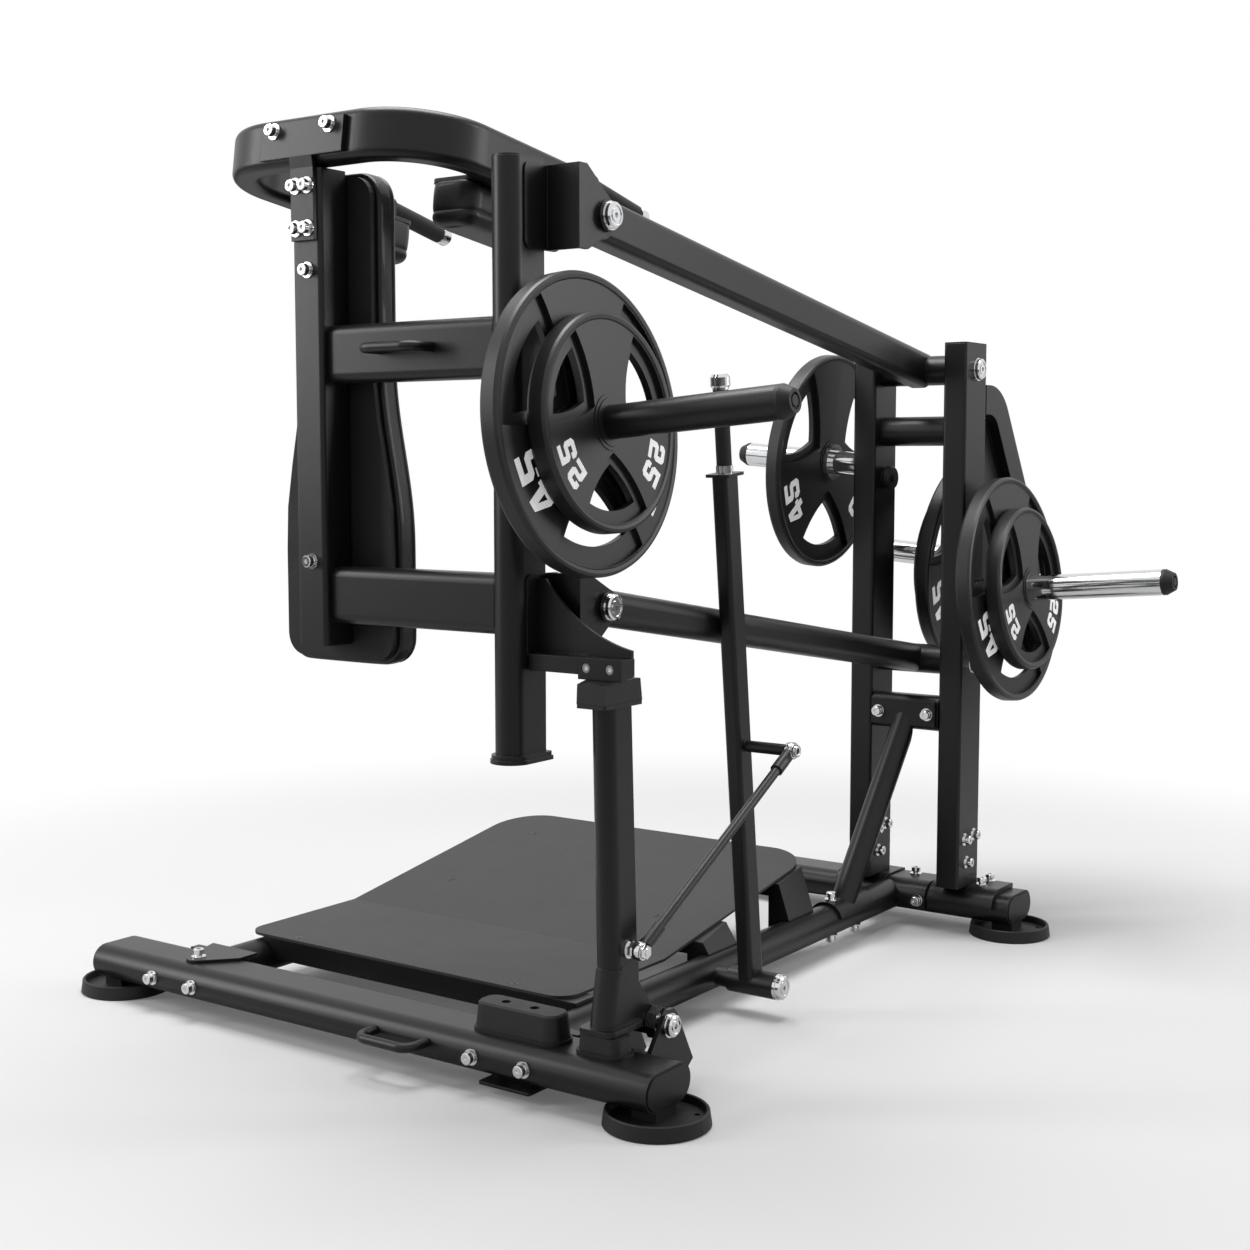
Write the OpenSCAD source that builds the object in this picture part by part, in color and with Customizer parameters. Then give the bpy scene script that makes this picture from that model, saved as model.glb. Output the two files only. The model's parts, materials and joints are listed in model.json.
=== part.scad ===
// Standing leg press: a shoulder carriage on two parallel links, held up by a prop.
// +X is the loading side, +Y runs to the rear, +Z is up. All lengths are millimetres.

/* [Base beams] */
// Length of each cross beam
beam_length = 1222; // [1140:1:1300]
// Front to back size of the flat oval beam
beam_depth = 120; // [110:1:130]
// Height of the flat oval beam
beam_height = 60; // [56:1:64]
// Wall of the beam
beam_wall = 4; // [3:0.5:5]
// Distance between the two beam centres
wheelbase = 1302; // [1280:1:1330]
// Thickness of the cap plate that closes a beam
cap_plate = 3; // [2:0.5:5]

/* [Feet] */
// Diameter of a foot disc
foot_d = 164; // [140:1:180]
// Height of the rim of a foot disc
foot_rim_h = 25; // [20:1:27]
// Height of the underside of the beams above the floor
beam_clear = 29; // [28:0.5:34]
// Distance of a foot centre from the middle of the beam
foot_offset = 594; // [560:1:600]

/* [Side tubes] */
// Diameter of the two tubes that join the beams
side_tube_d = 63.5; // [56:0.5:66]
// Wall of these tubes
side_tube_wall = 3; // [2:0.5:5]
// Place across of the tube on the loading side
near_tube_x = 340; // [335:1:345]
// Place across of the other tube
far_tube_x = -399; // [-410:1:-390]
// Distance between the two bolts at the front end of a side tube
flange_pitch = 102; // [96:1:110]

/* [Foot plate] */
// Width of the foot plate
plate_w = 748; // [700:1:760]
// Middle of the foot plate across
plate_x = -61; // [-65:1:-57]
// Front edge of the foot plate
plate_front = 150; // [130:1:170]
// Line where the foot plate bends upwards
plate_bend = 440; // [420:1:460]
// Rear edge of the foot plate
plate_rear = 975; // [950:1:1000]
// Height of the top of the level part
plate_z = 102; // [100:1:108]
// Rise of the sloping part at its rear edge
plate_rise = 91; // [70:1:110]
// Thickness of the foot plate
plate_t = 5; // [4:0.5:6]

/* [Uprights] */
// Size of an upright across
upright_w = 50; // [46:1:52]
// Size of an upright front to back
upright_d = 100; // [90:1:110]
// Wall of an upright
upright_wall = 3; // [2:0.5:5]
// Height of the top of the uprights
upright_top = 1209.4; // [1200:0.1:1240]
// Middle of the near upright across
near_upright_x = 492; // [488:1:496]
// Middle of the far upright across
far_upright_x = 290; // [286:1:294]
// Middle of the uprights front to back
upright_y = 1263.3; // [1255:0.1:1270]
// Thickness of the saddle between an upright and its beam
saddle_t = 10; // [8:0.5:12]

/* [Parallel links] */
// Height of the rear pivot of the upper link
upper_pivot_z = 1159.2; // [1150:0.1:1165]
// Height of the rear pivot of the lower link
lower_pivot_z = 565.9; // [560:0.1:575]
// Front to back reach of both links
link_reach = 1152.3; // [1140:0.1:1160]
// Rise of both links at rest
link_rise = 185.2; // [170:0.1:200]
// Width of both links
link_w = 50; // [44:1:52]
// Height of the upper link's tube
upper_link_h = 70; // [60:1:76]
// Height of the lower link's tube
lower_link_h = 58; // [52:1:64]
// Outer diameter of the rear sleeve of each link
sleeve_d = 60; // [54:1:66]
// Diameter of the rear pivot shafts
shaft_d = 25; // [20:1:28]
// Diameter of the front pivot bolts
link_bolt_d = 20; // [16:1:22]
// Radial clearance of a running fit
running = 0.05; // [0.02:0.01:0.1]

/* [Carriage] */
// Width of the carriage post
post_w = 50; // [46:1:54]
// Size of the post front to back
post_d = 82.5; // [76:0.5:90]
// Front face of the post
post_front = -40; // [-45:1:-36]
// Near face of the post
post_near_x = 361; // [358:1:364]
// Bottom of the post
post_bottom = 530; // [500:1:560]
// Top of the post
post_top = 1426; // [1420:1:1450]
// Height of each cross tube
cross_h = 93; // [80:1:100]
// Front to back size of each cross tube
cross_d = 50; // [44:1:56]
// Middle height of the upper cross tube
upper_cross_z = 1146; // [1130:1:1160]
// Middle height of the lower cross tube
lower_cross_z = 758; // [745:1:770]
// Width of the spine tube behind the back pad
spine_w = 64; // [58:1:70]
// Middle of the spine, the back pad and the shoulder frame across
seat_x = -61; // [-65:1:-57]
// Bottom of the spine
spine_bottom = 675; // [660:1:690]

/* [Shoulder frame] */
// Outer half width of the shoulder frame
frame_half_w = 255; // [245:1:262]
// Height of the shoulder frame's tube
frame_h = 80; // [70:1:86]
// Thickness of the shoulder frame's tube
frame_t = 45; // [40:1:50]
// Outer radius of the two bends
frame_bend_r = 150; // [120:1:165]
// Height of the top of the frame at its front
frame_top = 1524; // [1520:1:1535]
// Downward slope of the frame to the rear, in degrees
frame_slope = 8; // [6:0.5:9]
// Length of the frame along its slope
frame_len = 447; // [430:1:460]
// Diameter of the hand grips
grip_d = 34; // [30:1:38]
// Length of a handle behind the frame
handle_len = 172; // [150:1:180]

/* [Pads] */
// Length of a shoulder pad
shoulder_len = 225; // [200:1:240]
// Width of a shoulder pad
shoulder_w = 96; // [80:1:100]
// Thickness of a shoulder pad
shoulder_t = 76; // [60:1:84]
// Width of the back pad at its lower edge
back_w = 256; // [230:1:264]
// Width of the back pad at its upper edge
back_top_w = 180; // [160:1:260]
// Bottom of the back pad
back_bottom = 640; // [630:1:660]
// Top of the back pad
back_top = 1440; // [1400:1:1443]
// Thickness of the board behind the back pad
board_t = 12; // [8:1:16]
// Thickness of the upholstery of the back pad
back_t = 50; // [40:1:60]

/* [Weight horns and plates] */
// Diameter of every weight horn
horn_d = 50; // [46:0.5:51]
// Upward tilt of every weight horn, in degrees
horn_tilt = 4.8; // [3:0.1:7]
// Radial clearance between a plate's bore and its horn
plate_play = 0.35; // [0.3:0.05:0.8]
// Diameter of a large plate
large_d = 450; // [430:1:456]
// Thickness of a large plate
large_t = 32; // [28:1:34]
// Diameter of a small plate
small_d = 324; // [300:1:340]
// Thickness of a small plate
small_t = 34; // [28:1:36]
// Length of the load horn
load_horn_len = 432; // [400:1:450]
// Length of the storage horn on the near upright
near_horn_len = 392; // [360:1:410]
// Length of the storage horn on the far upright
far_horn_len = 277; // [250:1:300]
// Length of the storage horn behind the uprights
rear_horn_len = 345; // [320:1:370]

/* [Prop and release lever] */
// Width of the prop tube across
prop_w = 40; // [36:1:44]
// Depth of the prop tube
prop_d = 58; // [50:1:62]
// Middle of the prop across
prop_x = 496; // [494:1:498]
// Height of the top of the prop cap at rest
prop_top = 652.6; // [645:0.1:660]
// Prop pivot, front to back
prop_pivot_y = 98; // [95:1:101]
// Prop pivot, height
prop_pivot_z = 116; // [114:1:118]
// Diameter of the prop pivot bolt
prop_bolt_d = 20; // [16:1:22]
// Rest gap between the prop cap and the block that it holds up
rest_gap = 0.4; // [0.3:0.1:1]
// Lever pivot, front to back
lever_pivot_y = 531; // [525:1:537]
// Middle of the lever tube across
lever_x = 435; // [433:1:437]
// Width of the lever tube
lever_w = 30; // [26:1:34]
// Depth of the lever tube
lever_d = 44; // [38:1:48]
// Height of the top of the lever tube
lever_top = 950; // [900:1:980]
// Forward lean of the lever, in degrees
lever_lean = 6.1; // [5:0.1:7]
// Diameter of the lever hub
lever_hub_d = 46; // [42:1:50]
// Middle of the release rod across
rod_x = 538; // [536:1:540]
// Diameter of the release rod
rod_d = 16; // [12:1:18]
// Length of the grip on the lever
lever_grip_len = 126; // [100:1:150]
// Diameter of the grip on the lever
lever_grip_d = 26; // [24:0.5:30]
// Diameter of the knobs on the lever and on the two handles
knob_d = 34; // [30:0.5:40]
// Length of such a knob
knob_len = 26; // [20:0.5:32]

/* [Return spring] */
// Number of curls of the prop's return spring
spring_turns = 5; // [4:1:5]
// Diameter of the spring's wire
spring_wire = 3; // [2:0.1:3.2]
// Middle diameter of the spring's curls
spring_d = 50; // [44:1:52]
// Distance from curl to curl
spring_pitch = 3.8; // [3.6:0.05:3.9]

/* [Fasteners] */
// Shank diameter of the frame bolts
bolt_d = 12; // [8:1:14]
// Size across the head of a frame bolt
bolt_head_d = 19; // [16:1:22]
// Height of the head of a frame bolt
bolt_head_h = 9; // [6:0.5:12]
// Diameter of the washer under a frame bolt
washer_d = 26; // [22:1:28]
// Diameter of a pivot bolt's head
pivot_head_d = 42; // [38:1:50]
// Diameter of the head of the prop's pivot bolt
prop_head_d = 34; // [30:1:42]
// Height of a pivot bolt's head
pivot_head_h = 9; // [6:0.5:12]

/* [Hidden] */
$fn = 96;

black_paint = "#2c2c2e";
chrome = "#d9dbdf";
rubber = "#161617";
vinyl = "#101011";

// Small distances that seat one piece on another
seat_gap = 0.2;
bolt_play = 0.4;
eps = 0.05;

beam_z = beam_clear + beam_height / 2;
beam_top = beam_clear + beam_height;
tube_r = side_tube_d / 2;
upright_bottom = beam_top + saddle_t + seat_gap;
near_upright_face = near_upright_x + upright_w / 2;
far_upright_face = far_upright_x + upright_w / 2;
near_upright_inner = near_upright_x - upright_w / 2;
upright_gap_x = (far_upright_face + near_upright_inner) / 2;
link_x = upright_gap_x;
link_front_y = upright_y - link_reach;
upper_front_z = upper_pivot_z + link_rise;
lower_front_z = lower_pivot_z + link_rise;
link_angle = atan2(link_rise, link_reach);
link_length = sqrt(link_reach * link_reach + link_rise * link_rise);

post_x = post_near_x - post_w / 2;
post_back = post_front + post_d;
spine_front = post_front + 2;
spine_d = 63;
spine_back = spine_front + spine_d;
frame_front = post_front + 2.5;
frame_front_z = frame_top - frame_h / 2;
spine_top = frame_top - frame_h - 4;
arm_x = frame_half_w - frame_t / 2;

ear_t = 6;
web_t = 6;
clevis_plate_t = 3;
clevis_near_x = link_x + link_w / 2 + 2;
clevis_out_x = clevis_near_x + ear_t;
clevis_far_x = link_x - link_w / 2 - 2;
web_y = post_back;

rest_block_x0 = prop_x - 39.3;
rest_block_x1 = prop_x + 39.5;
rest_block_y0 = -8;
rest_block_y1 = 26;
rest_block_top = 685.3;
rest_bar_z = 660;
prop_cap_w = 54;
prop_cap_y0 = -30.7;
prop_cap_y1 = 66.8;
prop_cap_h = 39.6;
prop_cap_z = prop_top - prop_cap_h;
// The block's underside is an arc about the prop's pivot, so the prop swings out from under it
rest_arc_r = sqrt(pow(prop_pivot_y - rest_block_y0, 2) + pow(prop_top + rest_gap - prop_pivot_z, 2));

lever_pivot_z = beam_z;
lever_hub_x0 = near_tube_x + 55;
lever_hub_x1 = near_tube_x + 150;
lever_stub_d = 36;
lever_pin_d = 24;
prop_ball = [rod_x, 38, 243];
lever_ball = [rod_x, 487, 487];
rod_span = sqrt(pow(lever_ball[1] - prop_ball[1], 2) + pow(lever_ball[2] - prop_ball[2], 2));
rod_angle = atan2(lever_ball[2] - prop_ball[2], lever_ball[1] - prop_ball[1]);
stud_d = 12;
rod_eye_d = 28;
rod_eye_w = 13;
open_pivot_play = 1.2;

prop_ear_x = 542;
prop_ear_t = 8;
prop_far_ear_x = 456;
prop_hub_d = 40;
prop_hub_x0 = prop_far_ear_x + ear_t + 1;
prop_hub_x1 = 517;

load_plate_z = 1026;
load_plate_x = 443.3;
near_plate_z = 716;
near_plate_x = 577.5;
far_plate_z = 973;
far_plate_x = 188.5;
rear_plate_x = 388;
rear_plate_y = 1550;
rear_plate_z = 757;
collar_d = 76;
collar_t = 8;
horn_cap_len = 22;
load_horn_y = 8;
near_horn_y = upright_y + 5;
post_horn_z = load_plate_z - (load_plate_x - post_near_x) * tan(horn_tilt);
near_horn_z = near_plate_z - (near_plate_x - near_upright_face) * tan(horn_tilt);
far_horn_x = far_upright_x - upright_w / 2;
far_horn_z = far_plate_z - (far_horn_x - far_plate_x) * tan(horn_tilt);
rear_horn_x = near_upright_inner;
rear_horn_z = rear_plate_z - (rear_horn_x - rear_plate_x) * tan(horn_tilt);

origin_x = (near_upright_face + (near_horn_len + horn_cap_len) * cos(horn_tilt)
  + (horn_d / 2 - 8) * sin(horn_tilt) - foot_offset - foot_d / 2) / 2;
origin_y = (load_horn_y - large_d / 2 + rear_plate_y + large_d / 2) / 2;

// ---- shared shapes -------------------------------------------------------------------

module place() {
  translate([-origin_x, -origin_y, 0]) children();
}

module round_rect(w, h, r) {
  square([w - 2 * r, h], center = true);
  square([w, h - 2 * r], center = true);
  for (sx = [-1, 1], sy = [-1, 1])
    translate([sx * (w / 2 - r), sy * (h / 2 - r)]) circle(r);
}

module stadium(w, h) {
  square([w - h, h], center = true);
  for (s = [-1, 1])
    translate([s * (w - h) / 2, 0]) circle(h / 2);
}

// 2D across and up become front to back and up, extruded towards the loading side
module along_x(x0, len, y = 0, z = 0) {
  translate([x0, y, z]) rotate([90, 0, 90]) linear_extrude(len) children();
}

// 2D across and up keep their sense, extruded to the rear
module along_y(y0, len, x = 0, z = 0) {
  translate([x, y0 + len, z]) rotate([90, 0, 0]) linear_extrude(len) children();
}

module rod_x(x0, len, y, z, d) {
  translate([x0, y, z]) rotate([0, 90, 0]) cylinder(d = d, h = len);
}

module rod_y(y0, len, x, z, d) {
  translate([x, y0, z]) rotate([-90, 0, 0]) cylinder(d = d, h = len);
}

module facing(way) {
  turn = way == "near" ? [0, 90, 0]
    : way == "far" ? [0, -90, 0]
    : way == "front" ? [90, 0, 0]
    : way == "rear" ? [-90, 0, 0]
    : way == "down" ? [180, 0, 0]
    : [0, 0, 0];
  rotate(turn) children();
}

// A bolt: washer, a neck, a round head with a six sided socket and a stub of its shank
module hex_bolt(d = bolt_d, shank = 12) {
  k = d / bolt_d;
  translate([0, 0, -shank]) cylinder(d = d, h = shank + eps);
  cylinder(d = washer_d * k, h = 2.5);
  translate([0, 0, 2.5]) cylinder(d = bolt_head_d * 0.72 * k, h = 4);
  translate([0, 0, 6.5]) difference() {
    union() {
      cylinder(d = bolt_head_d * k, h = bolt_head_h * k - 1);
      translate([0, 0, bolt_head_h * k - 1]) cylinder(d1 = bolt_head_d * k, d2 = bolt_head_d * k - 2, h = 1);
    }
    translate([0, 0, bolt_head_h * k - 3]) cylinder(d = 8, h = 4, $fn = 6);
  }
}

module bolts(seats, d = bolt_d) {
  for (s = seats)
    translate([s[0], s[1], s[2]]) facing(s[3]) hex_bolt(d);
}

module bolt_holes(seats, d = bolt_d) {
  for (s = seats)
    translate([s[0], s[1], s[2]]) facing(s[3]) translate([0, 0, -14])
      cylinder(d = d + 2 * bolt_play, h = 20);
}

// A pivot bolt's head: a washer and a disc with a turned groove and a six sided socket
module pivot_head(x, y, z, way, d = pivot_head_d) {
  translate([x, y, z]) facing(way) difference() {
    union() {
      cylinder(d = d + 4, h = 4);
      translate([0, 0, 4]) cylinder(d = d, h = pivot_head_h - 2);
      translate([0, 0, pivot_head_h + 2]) cylinder(d1 = d, d2 = d - 6, h = 2);
    }
    translate([0, 0, pivot_head_h + 2.5]) difference() {
      cylinder(d = d * 0.72, h = 3);
      translate([0, 0, -1]) cylinder(d = d * 0.5, h = 5);
    }
    translate([0, 0, pivot_head_h - 1]) cylinder(d = 9, h = 6, $fn = 6);
  }
}

module grab_handle(x, y, z) {
  bar = 16;
  span = 110;
  stand = 44;
  bend = 22;
  for (s = [-1, 1]) {
    translate([x + s * span / 2, y - stand + bend, z]) rotate([-90, 0, 0])
      cylinder(d = bar, h = stand - bend);
    translate([x + s * (span / 2 - bend), y - stand + bend, z])
      rotate([0, 0, s > 0 ? -90 : 180]) rotate_extrude(angle = 90) translate([bend, 0]) circle(d = bar);
  }
  rod_x(x - span / 2 + bend, span - 2 * bend, y - stand, z, bar);
}

// ---- base ----------------------------------------------------------------------------

front_beam_bolts = [
  for (x = [far_tube_x, near_tube_x], s = [-1, 1]) [x + s * flange_pitch / 2, -beam_depth / 2, beam_z, "front"]
];
rear_wrap_bolts = [
  [near_tube_x + 76, wheelbase - beam_depth / 2 - 6.2, beam_z, "front"],
  [far_tube_x + 76, wheelbase - beam_depth / 2 - 6.2, beam_z, "front"],
  [far_tube_x - 76, wheelbase - beam_depth / 2 - 6.2, beam_z, "front"],
  [near_tube_x + 36, wheelbase + 10, beam_top + 6.2, "up"],
  [far_tube_x, wheelbase + 10, beam_top + 6.2, "up"]
];
saddle_bolts = [
  [near_upright_face + 22, upright_y + 22, beam_top + saddle_t + seat_gap, "up"],
  [near_upright_face + 22, upright_y + 62, beam_top + saddle_t + seat_gap, "up"],
  [far_upright_x - upright_w / 2 - 22, upright_y + 42, beam_top + saddle_t + seat_gap, "up"]
];
upright_side_bolts = [
  for (face = [near_upright_face, far_upright_face], s = [[-24, 200], [18, 204], [-14, 151]])
    [face, upright_y + s[0], s[1], "near"]
];
brace_foot_y = 1050;
brace_bolts = [
  [near_tube_x, brace_foot_y - 50, beam_z + tube_r + 6.2, "up"],
  [near_tube_x, brace_foot_y + 50, beam_z + tube_r + 6.2, "up"]
];
brace_nuts = [
  [near_tube_x, brace_foot_y - 50, beam_z - tube_r, "down"],
  [near_tube_x, brace_foot_y + 50, beam_z - tube_r, "down"]
];
cross_member_y = upright_y - upright_d / 2;
cross_member_z = 457;
cross_member_h = 72;
cross_member_d = 50;
cross_member_bolts = [
  for (s = [-1, 1]) [upright_gap_x + s * 55, cross_member_y - 8, cross_member_z, "front"]
];

module beam_shell(y) {
  along_x(-beam_length / 2, beam_length, y, beam_z) difference() {
    stadium(beam_depth, beam_height);
    stadium(beam_depth - 2 * beam_wall, beam_height - 2 * beam_wall);
  }
}

module beam_body(y, grow) {
  along_x(-beam_length / 2, beam_length, y, beam_z)
    stadium(beam_depth + 2 * grow, beam_height + 2 * grow);
}

module front_beam() color(black_paint) place() difference() {
  beam_shell(0);
  bolt_holes(front_beam_bolts);
  bolt_holes(gusset_bolts);
}

module rear_beam() color(black_paint) place() difference() {
  beam_shell(wheelbase);
  bolt_holes(rear_wrap_bolts);
  bolt_holes(saddle_bolts);
}

module tube_caps() color(rubber) place() {
  for (y = [0, wheelbase], s = [-1, 1])
    translate([s * beam_length / 2, y, beam_z]) rotate([90, 0, s * 90]) {
      linear_extrude(cap_plate) stadium(beam_depth, beam_height);
      translate([0, 0, cap_plate]) linear_extrude(2) stadium(beam_depth - 8, beam_height - 8);
      translate([0, 0, -10]) linear_extrude(10)
        stadium(beam_depth - 2 * beam_wall - 1, beam_height - 2 * beam_wall - 1);
    }
  for (x = [near_upright_x, far_upright_x]) {
    translate([x, upright_y, upright_top]) linear_extrude(3) round_rect(upright_w, upright_d, 6);
    translate([x, upright_y, upright_top - 14]) linear_extrude(14)
      round_rect(upright_w - 2 * upright_wall - 1, upright_d - 2 * upright_wall - 1, 4);
  }
}

module feet() color(rubber) place()
  for (x = [-foot_offset, foot_offset], y = [0, wheelbase])
    translate([x, y, 0]) difference() {
      union() {
        rotate_extrude() polygon([
          [0, 0], [foot_d / 2 - 2, 0], [foot_d / 2, 2], [foot_d / 2 - 3, foot_rim_h - 2],
          [foot_d / 2 - 5, foot_rim_h], [foot_d / 2 - 8, foot_rim_h - 1], [foot_d / 2 - 10, 12], [0, 12]
        ]);
        translate([-28, -26, 10]) cube([44, 52, beam_clear - 10]);
      }
      for (s = [-1, 1])
        translate([45, s * 40, -1]) cylinder(d = 9, h = 20);
    }

module side_tube(x) {
  difference() {
    union() {
      rod_y(beam_depth / 2 - 16, wheelbase - beam_depth + 32, x, beam_z, side_tube_d);
      translate([x - flange_pitch / 2 - 22, beam_depth / 2 - 12, beam_clear + 2])
        cube([flange_pitch + 44, 20, beam_height - 4]);
    }
    rod_y(beam_depth / 2 - 17, wheelbase - beam_depth + 34, x, beam_z, side_tube_d - 2 * side_tube_wall);
    beam_body(0, seat_gap);
    beam_body(wheelbase, seat_gap);
  }
}

// A plate folded over the front and the top of the rear beam
module beam_wrap(x0, x1, t, y_back, z_low) {
  difference() {
    intersection() {
      along_x(x0, x1 - x0, wheelbase, beam_z) stadium(beam_depth + 2 * t, beam_height + 2 * t);
      translate([x0, wheelbase - beam_depth, z_low]) cube([x1 - x0, beam_depth + y_back, 200]);
    }
    beam_body(wheelbase, seat_gap);
  }
}

// A gusset on top of the front beam at the far tube, with one bolt down into the beam
gusset_plate_t = 5;
gusset_bolt = [far_tube_x + 12, -8];
gusset_bolts = [[gusset_bolt[0], gusset_bolt[1], beam_top + seat_gap + gusset_plate_t, "up"]];
gusset_back = beam_depth / 2 + 12;

module beam_gusset() {
  translate([0, 0, beam_top + seat_gap]) linear_extrude(gusset_plate_t) difference() {
    union() {
      translate(gusset_bolt) circle(22);
      polygon([
        gusset_bolt + [-22, 3], gusset_bolt + [14, -17], [far_tube_x + 76, beam_depth / 4],
        [far_tube_x + 76, gusset_back], [far_tube_x - 40, gusset_back]
      ]);
    }
    translate(gusset_bolt) circle(bolt_d / 2 + bolt_play);
  }
  translate([far_tube_x - 38, beam_depth / 2 + 1, beam_top - 12]) cube([108, 11, 12 + seat_gap + eps]);
}

module side_tubes() color(black_paint) place() difference() {
  union() {
    side_tube(near_tube_x);
    side_tube(far_tube_x);
    beam_gusset();
    difference() {
      union() {
        beam_wrap(far_upright_face + 22, near_tube_x + 92, 6 + seat_gap, 30, 40);
        beam_wrap(far_tube_x - 92, far_tube_x + 92, 6 + seat_gap, 30, 40);
      }
      for (x = [near_tube_x, far_tube_x])
        rod_y(beam_depth, wheelbase, x, beam_z, side_tube_d - 1);
    }
    rod_x(near_tube_x + tube_r - 5, lever_hub_x0 - near_tube_x - tube_r + 5 - 0.5, lever_pivot_y,
      lever_pivot_z, lever_stub_d);
  }
  bolt_holes(rear_wrap_bolts);
  bolt_holes(brace_bolts);
  bolt_holes(brace_nuts);
  rod_x(near_tube_x + 10, 60, lever_pivot_y, lever_pivot_z, lever_pin_d + 0.2);
}

function ramp_z(y) = plate_z + (y > plate_bend ? (y - plate_bend) * plate_rise / (plate_rear - plate_bend) : 0);

plate_screw_x = 253;
rail_rows = [580, 868];
plate_screws = [
  for (y = [168, 597, 873], s = [-1, 1]) [plate_x + s * plate_screw_x, y]
];
plate_tilt = atan2(plate_rise, plate_rear - plate_bend);

module at_screw(s) {
  translate([s[0], s[1], ramp_z(s[1])]) rotate([s[1] > plate_bend ? plate_tilt : 0, 0, 0]) children();
}

module foot_plate() color(black_paint) place() difference() {
  intersection() {
    along_x(plate_x - plate_w / 2, plate_w) polygon([
      [plate_front, plate_z - plate_t], [plate_bend, plate_z - plate_t],
      [plate_rear, plate_z + plate_rise - plate_t], [plate_rear, plate_z + plate_rise],
      [plate_bend, plate_z], [plate_front, plate_z]
    ]);
    translate([plate_x, 0, 0]) linear_extrude(400) plate_outline();
  }
  for (s = plate_screws)
    at_screw(s) {
      translate([0, 0, -10]) cylinder(d = 8 + 2 * bolt_play, h = 20);
      translate([0, 0, -3.2]) cylinder(d1 = 8.8, d2 = 18, h = 3.3);
    }
}

module plate_outline() {
  rear_r = 95;
  front_r = 40;
  w = plate_w / 2;
  translate([-w, plate_front + front_r]) square([plate_w, plate_rear - rear_r - plate_front - front_r]);
  translate([-w + front_r, plate_front]) square([plate_w - 2 * front_r, front_r + 1]);
  translate([-w + rear_r, plate_rear - rear_r - 1]) square([plate_w - 2 * rear_r, rear_r + 1]);
  for (s = [-1, 1]) {
    translate([s * (w - front_r), plate_front + front_r]) circle(front_r);
    translate([s * (w - rear_r), plate_rear - rear_r]) circle(rear_r);
  }
}

module foot_plate_screws() color(chrome) place()
  for (s = plate_screws)
    at_screw(s) difference() {
      union() {
        translate([0, 0, -3]) cylinder(d1 = 8, d2 = 16.4, h = 3);
        translate([0, 0, -9]) cylinder(d = 8, h = 7);
      }
      translate([0, 0, -2]) cylinder(d = 5, h = 3, $fn = 6);
    }

// Rails under the foot plate, with folded brackets that stand on the side tubes
module foot_plate_frame() color(black_paint) place() difference() {
  union() {
    translate([far_tube_x + 8, 152, beam_z - 1])
      cube([near_tube_x - far_tube_x - 16, 56, plate_z - plate_t - beam_z + 1]);
    for (y = rail_rows) {
      intersection() {
        translate([far_tube_x + 40, y - 30, 0]) cube([near_tube_x - far_tube_x - 80, 60, 400]);
        under_ramp(34);
      }
      for (s = [-1, 1])
        intersection() {
          translate([s > 0 ? near_tube_x - 42 : far_tube_x - 38, y - 48, beam_z - 10])
            cube([80, 96, 400]);
          under_ramp(0);
          bracket_wedge(s, y);
        }
    }
  }
  for (x = [near_tube_x, far_tube_x])
    rod_y(0, wheelbase, x, beam_z, side_tube_d + 2 * seat_gap);
  for (y = rail_rows)
    translate([far_tube_x + 40, y - 26, 40])
      cube([near_tube_x - far_tube_x - 80, 52, ramp_z(y) - 60 - 40 + 44]);
  translate([far_tube_x + 60, 156, 0]) cube([near_tube_x - far_tube_x - 120, 48, plate_z - plate_t - 5]);
  for (s = plate_screws)
    at_screw(s) translate([0, 0, -14]) cylinder(d = 8 + 2 * bolt_play, h = 20);
}

// The space under the sloping part of the foot plate, down to a given depth below it
module under_ramp(depth) {
  low = depth > 0 ? depth : 300;
  along_x(-900, 1800) polygon([
    [plate_bend, plate_z - plate_t - low], [plate_rear, plate_z + plate_rise - plate_t - low],
    [plate_rear, plate_z + plate_rise - plate_t], [plate_bend, plate_z - plate_t]
  ]);
}

// A bracket leans out from the rail to the crown of its side tube
module bracket_wedge(s, y) {
  x = s > 0 ? near_tube_x : far_tube_x;
  top = ramp_z(y) + 20;
  along_y(y - 48, 96) polygon([
    [x - s * 40, beam_z + 10], [x + s * 6, beam_z + 10], [x + s * 6, beam_z + tube_r + 3],
    [x - s * 28, top], [x - s * 40, top]
  ]);
}

module upright(x) {
  difference() {
    translate([x, upright_y, upright_bottom]) linear_extrude(upright_top - upright_bottom) difference() {
      round_rect(upright_w, upright_d, 6);
      round_rect(upright_w - 2 * upright_wall, upright_d - 2 * upright_wall, 4);
    }
    for (z = [upper_pivot_z, lower_pivot_z])
      rod_x(x - upright_w, 2 * upright_w, upright_y, z, shaft_d + 2 * seat_gap);
    bolt_holes(upright_side_bolts);
  }
}

module near_upright() color(black_paint) place() upright(near_upright_x);

module far_upright() color(black_paint) place() difference() {
  upright(far_upright_x);
  translate([far_upright_face - 14, upright_y, 940]) rotate([0, 90, 0]) cylinder(d = 12.8, h = 20);
}

module upright_saddles() color(black_paint) place() difference() {
  union() {
    beam_wrap(near_upright_inner - 27, near_upright_face + 66, saddle_t + seat_gap, 40, 62);
    beam_wrap(far_upright_x - upright_w / 2 - 44, far_upright_face + 20, saddle_t + seat_gap, 40, 62);
  }
  bolt_holes(saddle_bolts);
  rod_y(0, wheelbase, near_tube_x, beam_z, side_tube_d + 2 * seat_gap);
  translate([0, 0, upright_bottom - seat_gap]) linear_extrude(50) square([4000, 4000], center = true);
}

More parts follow.
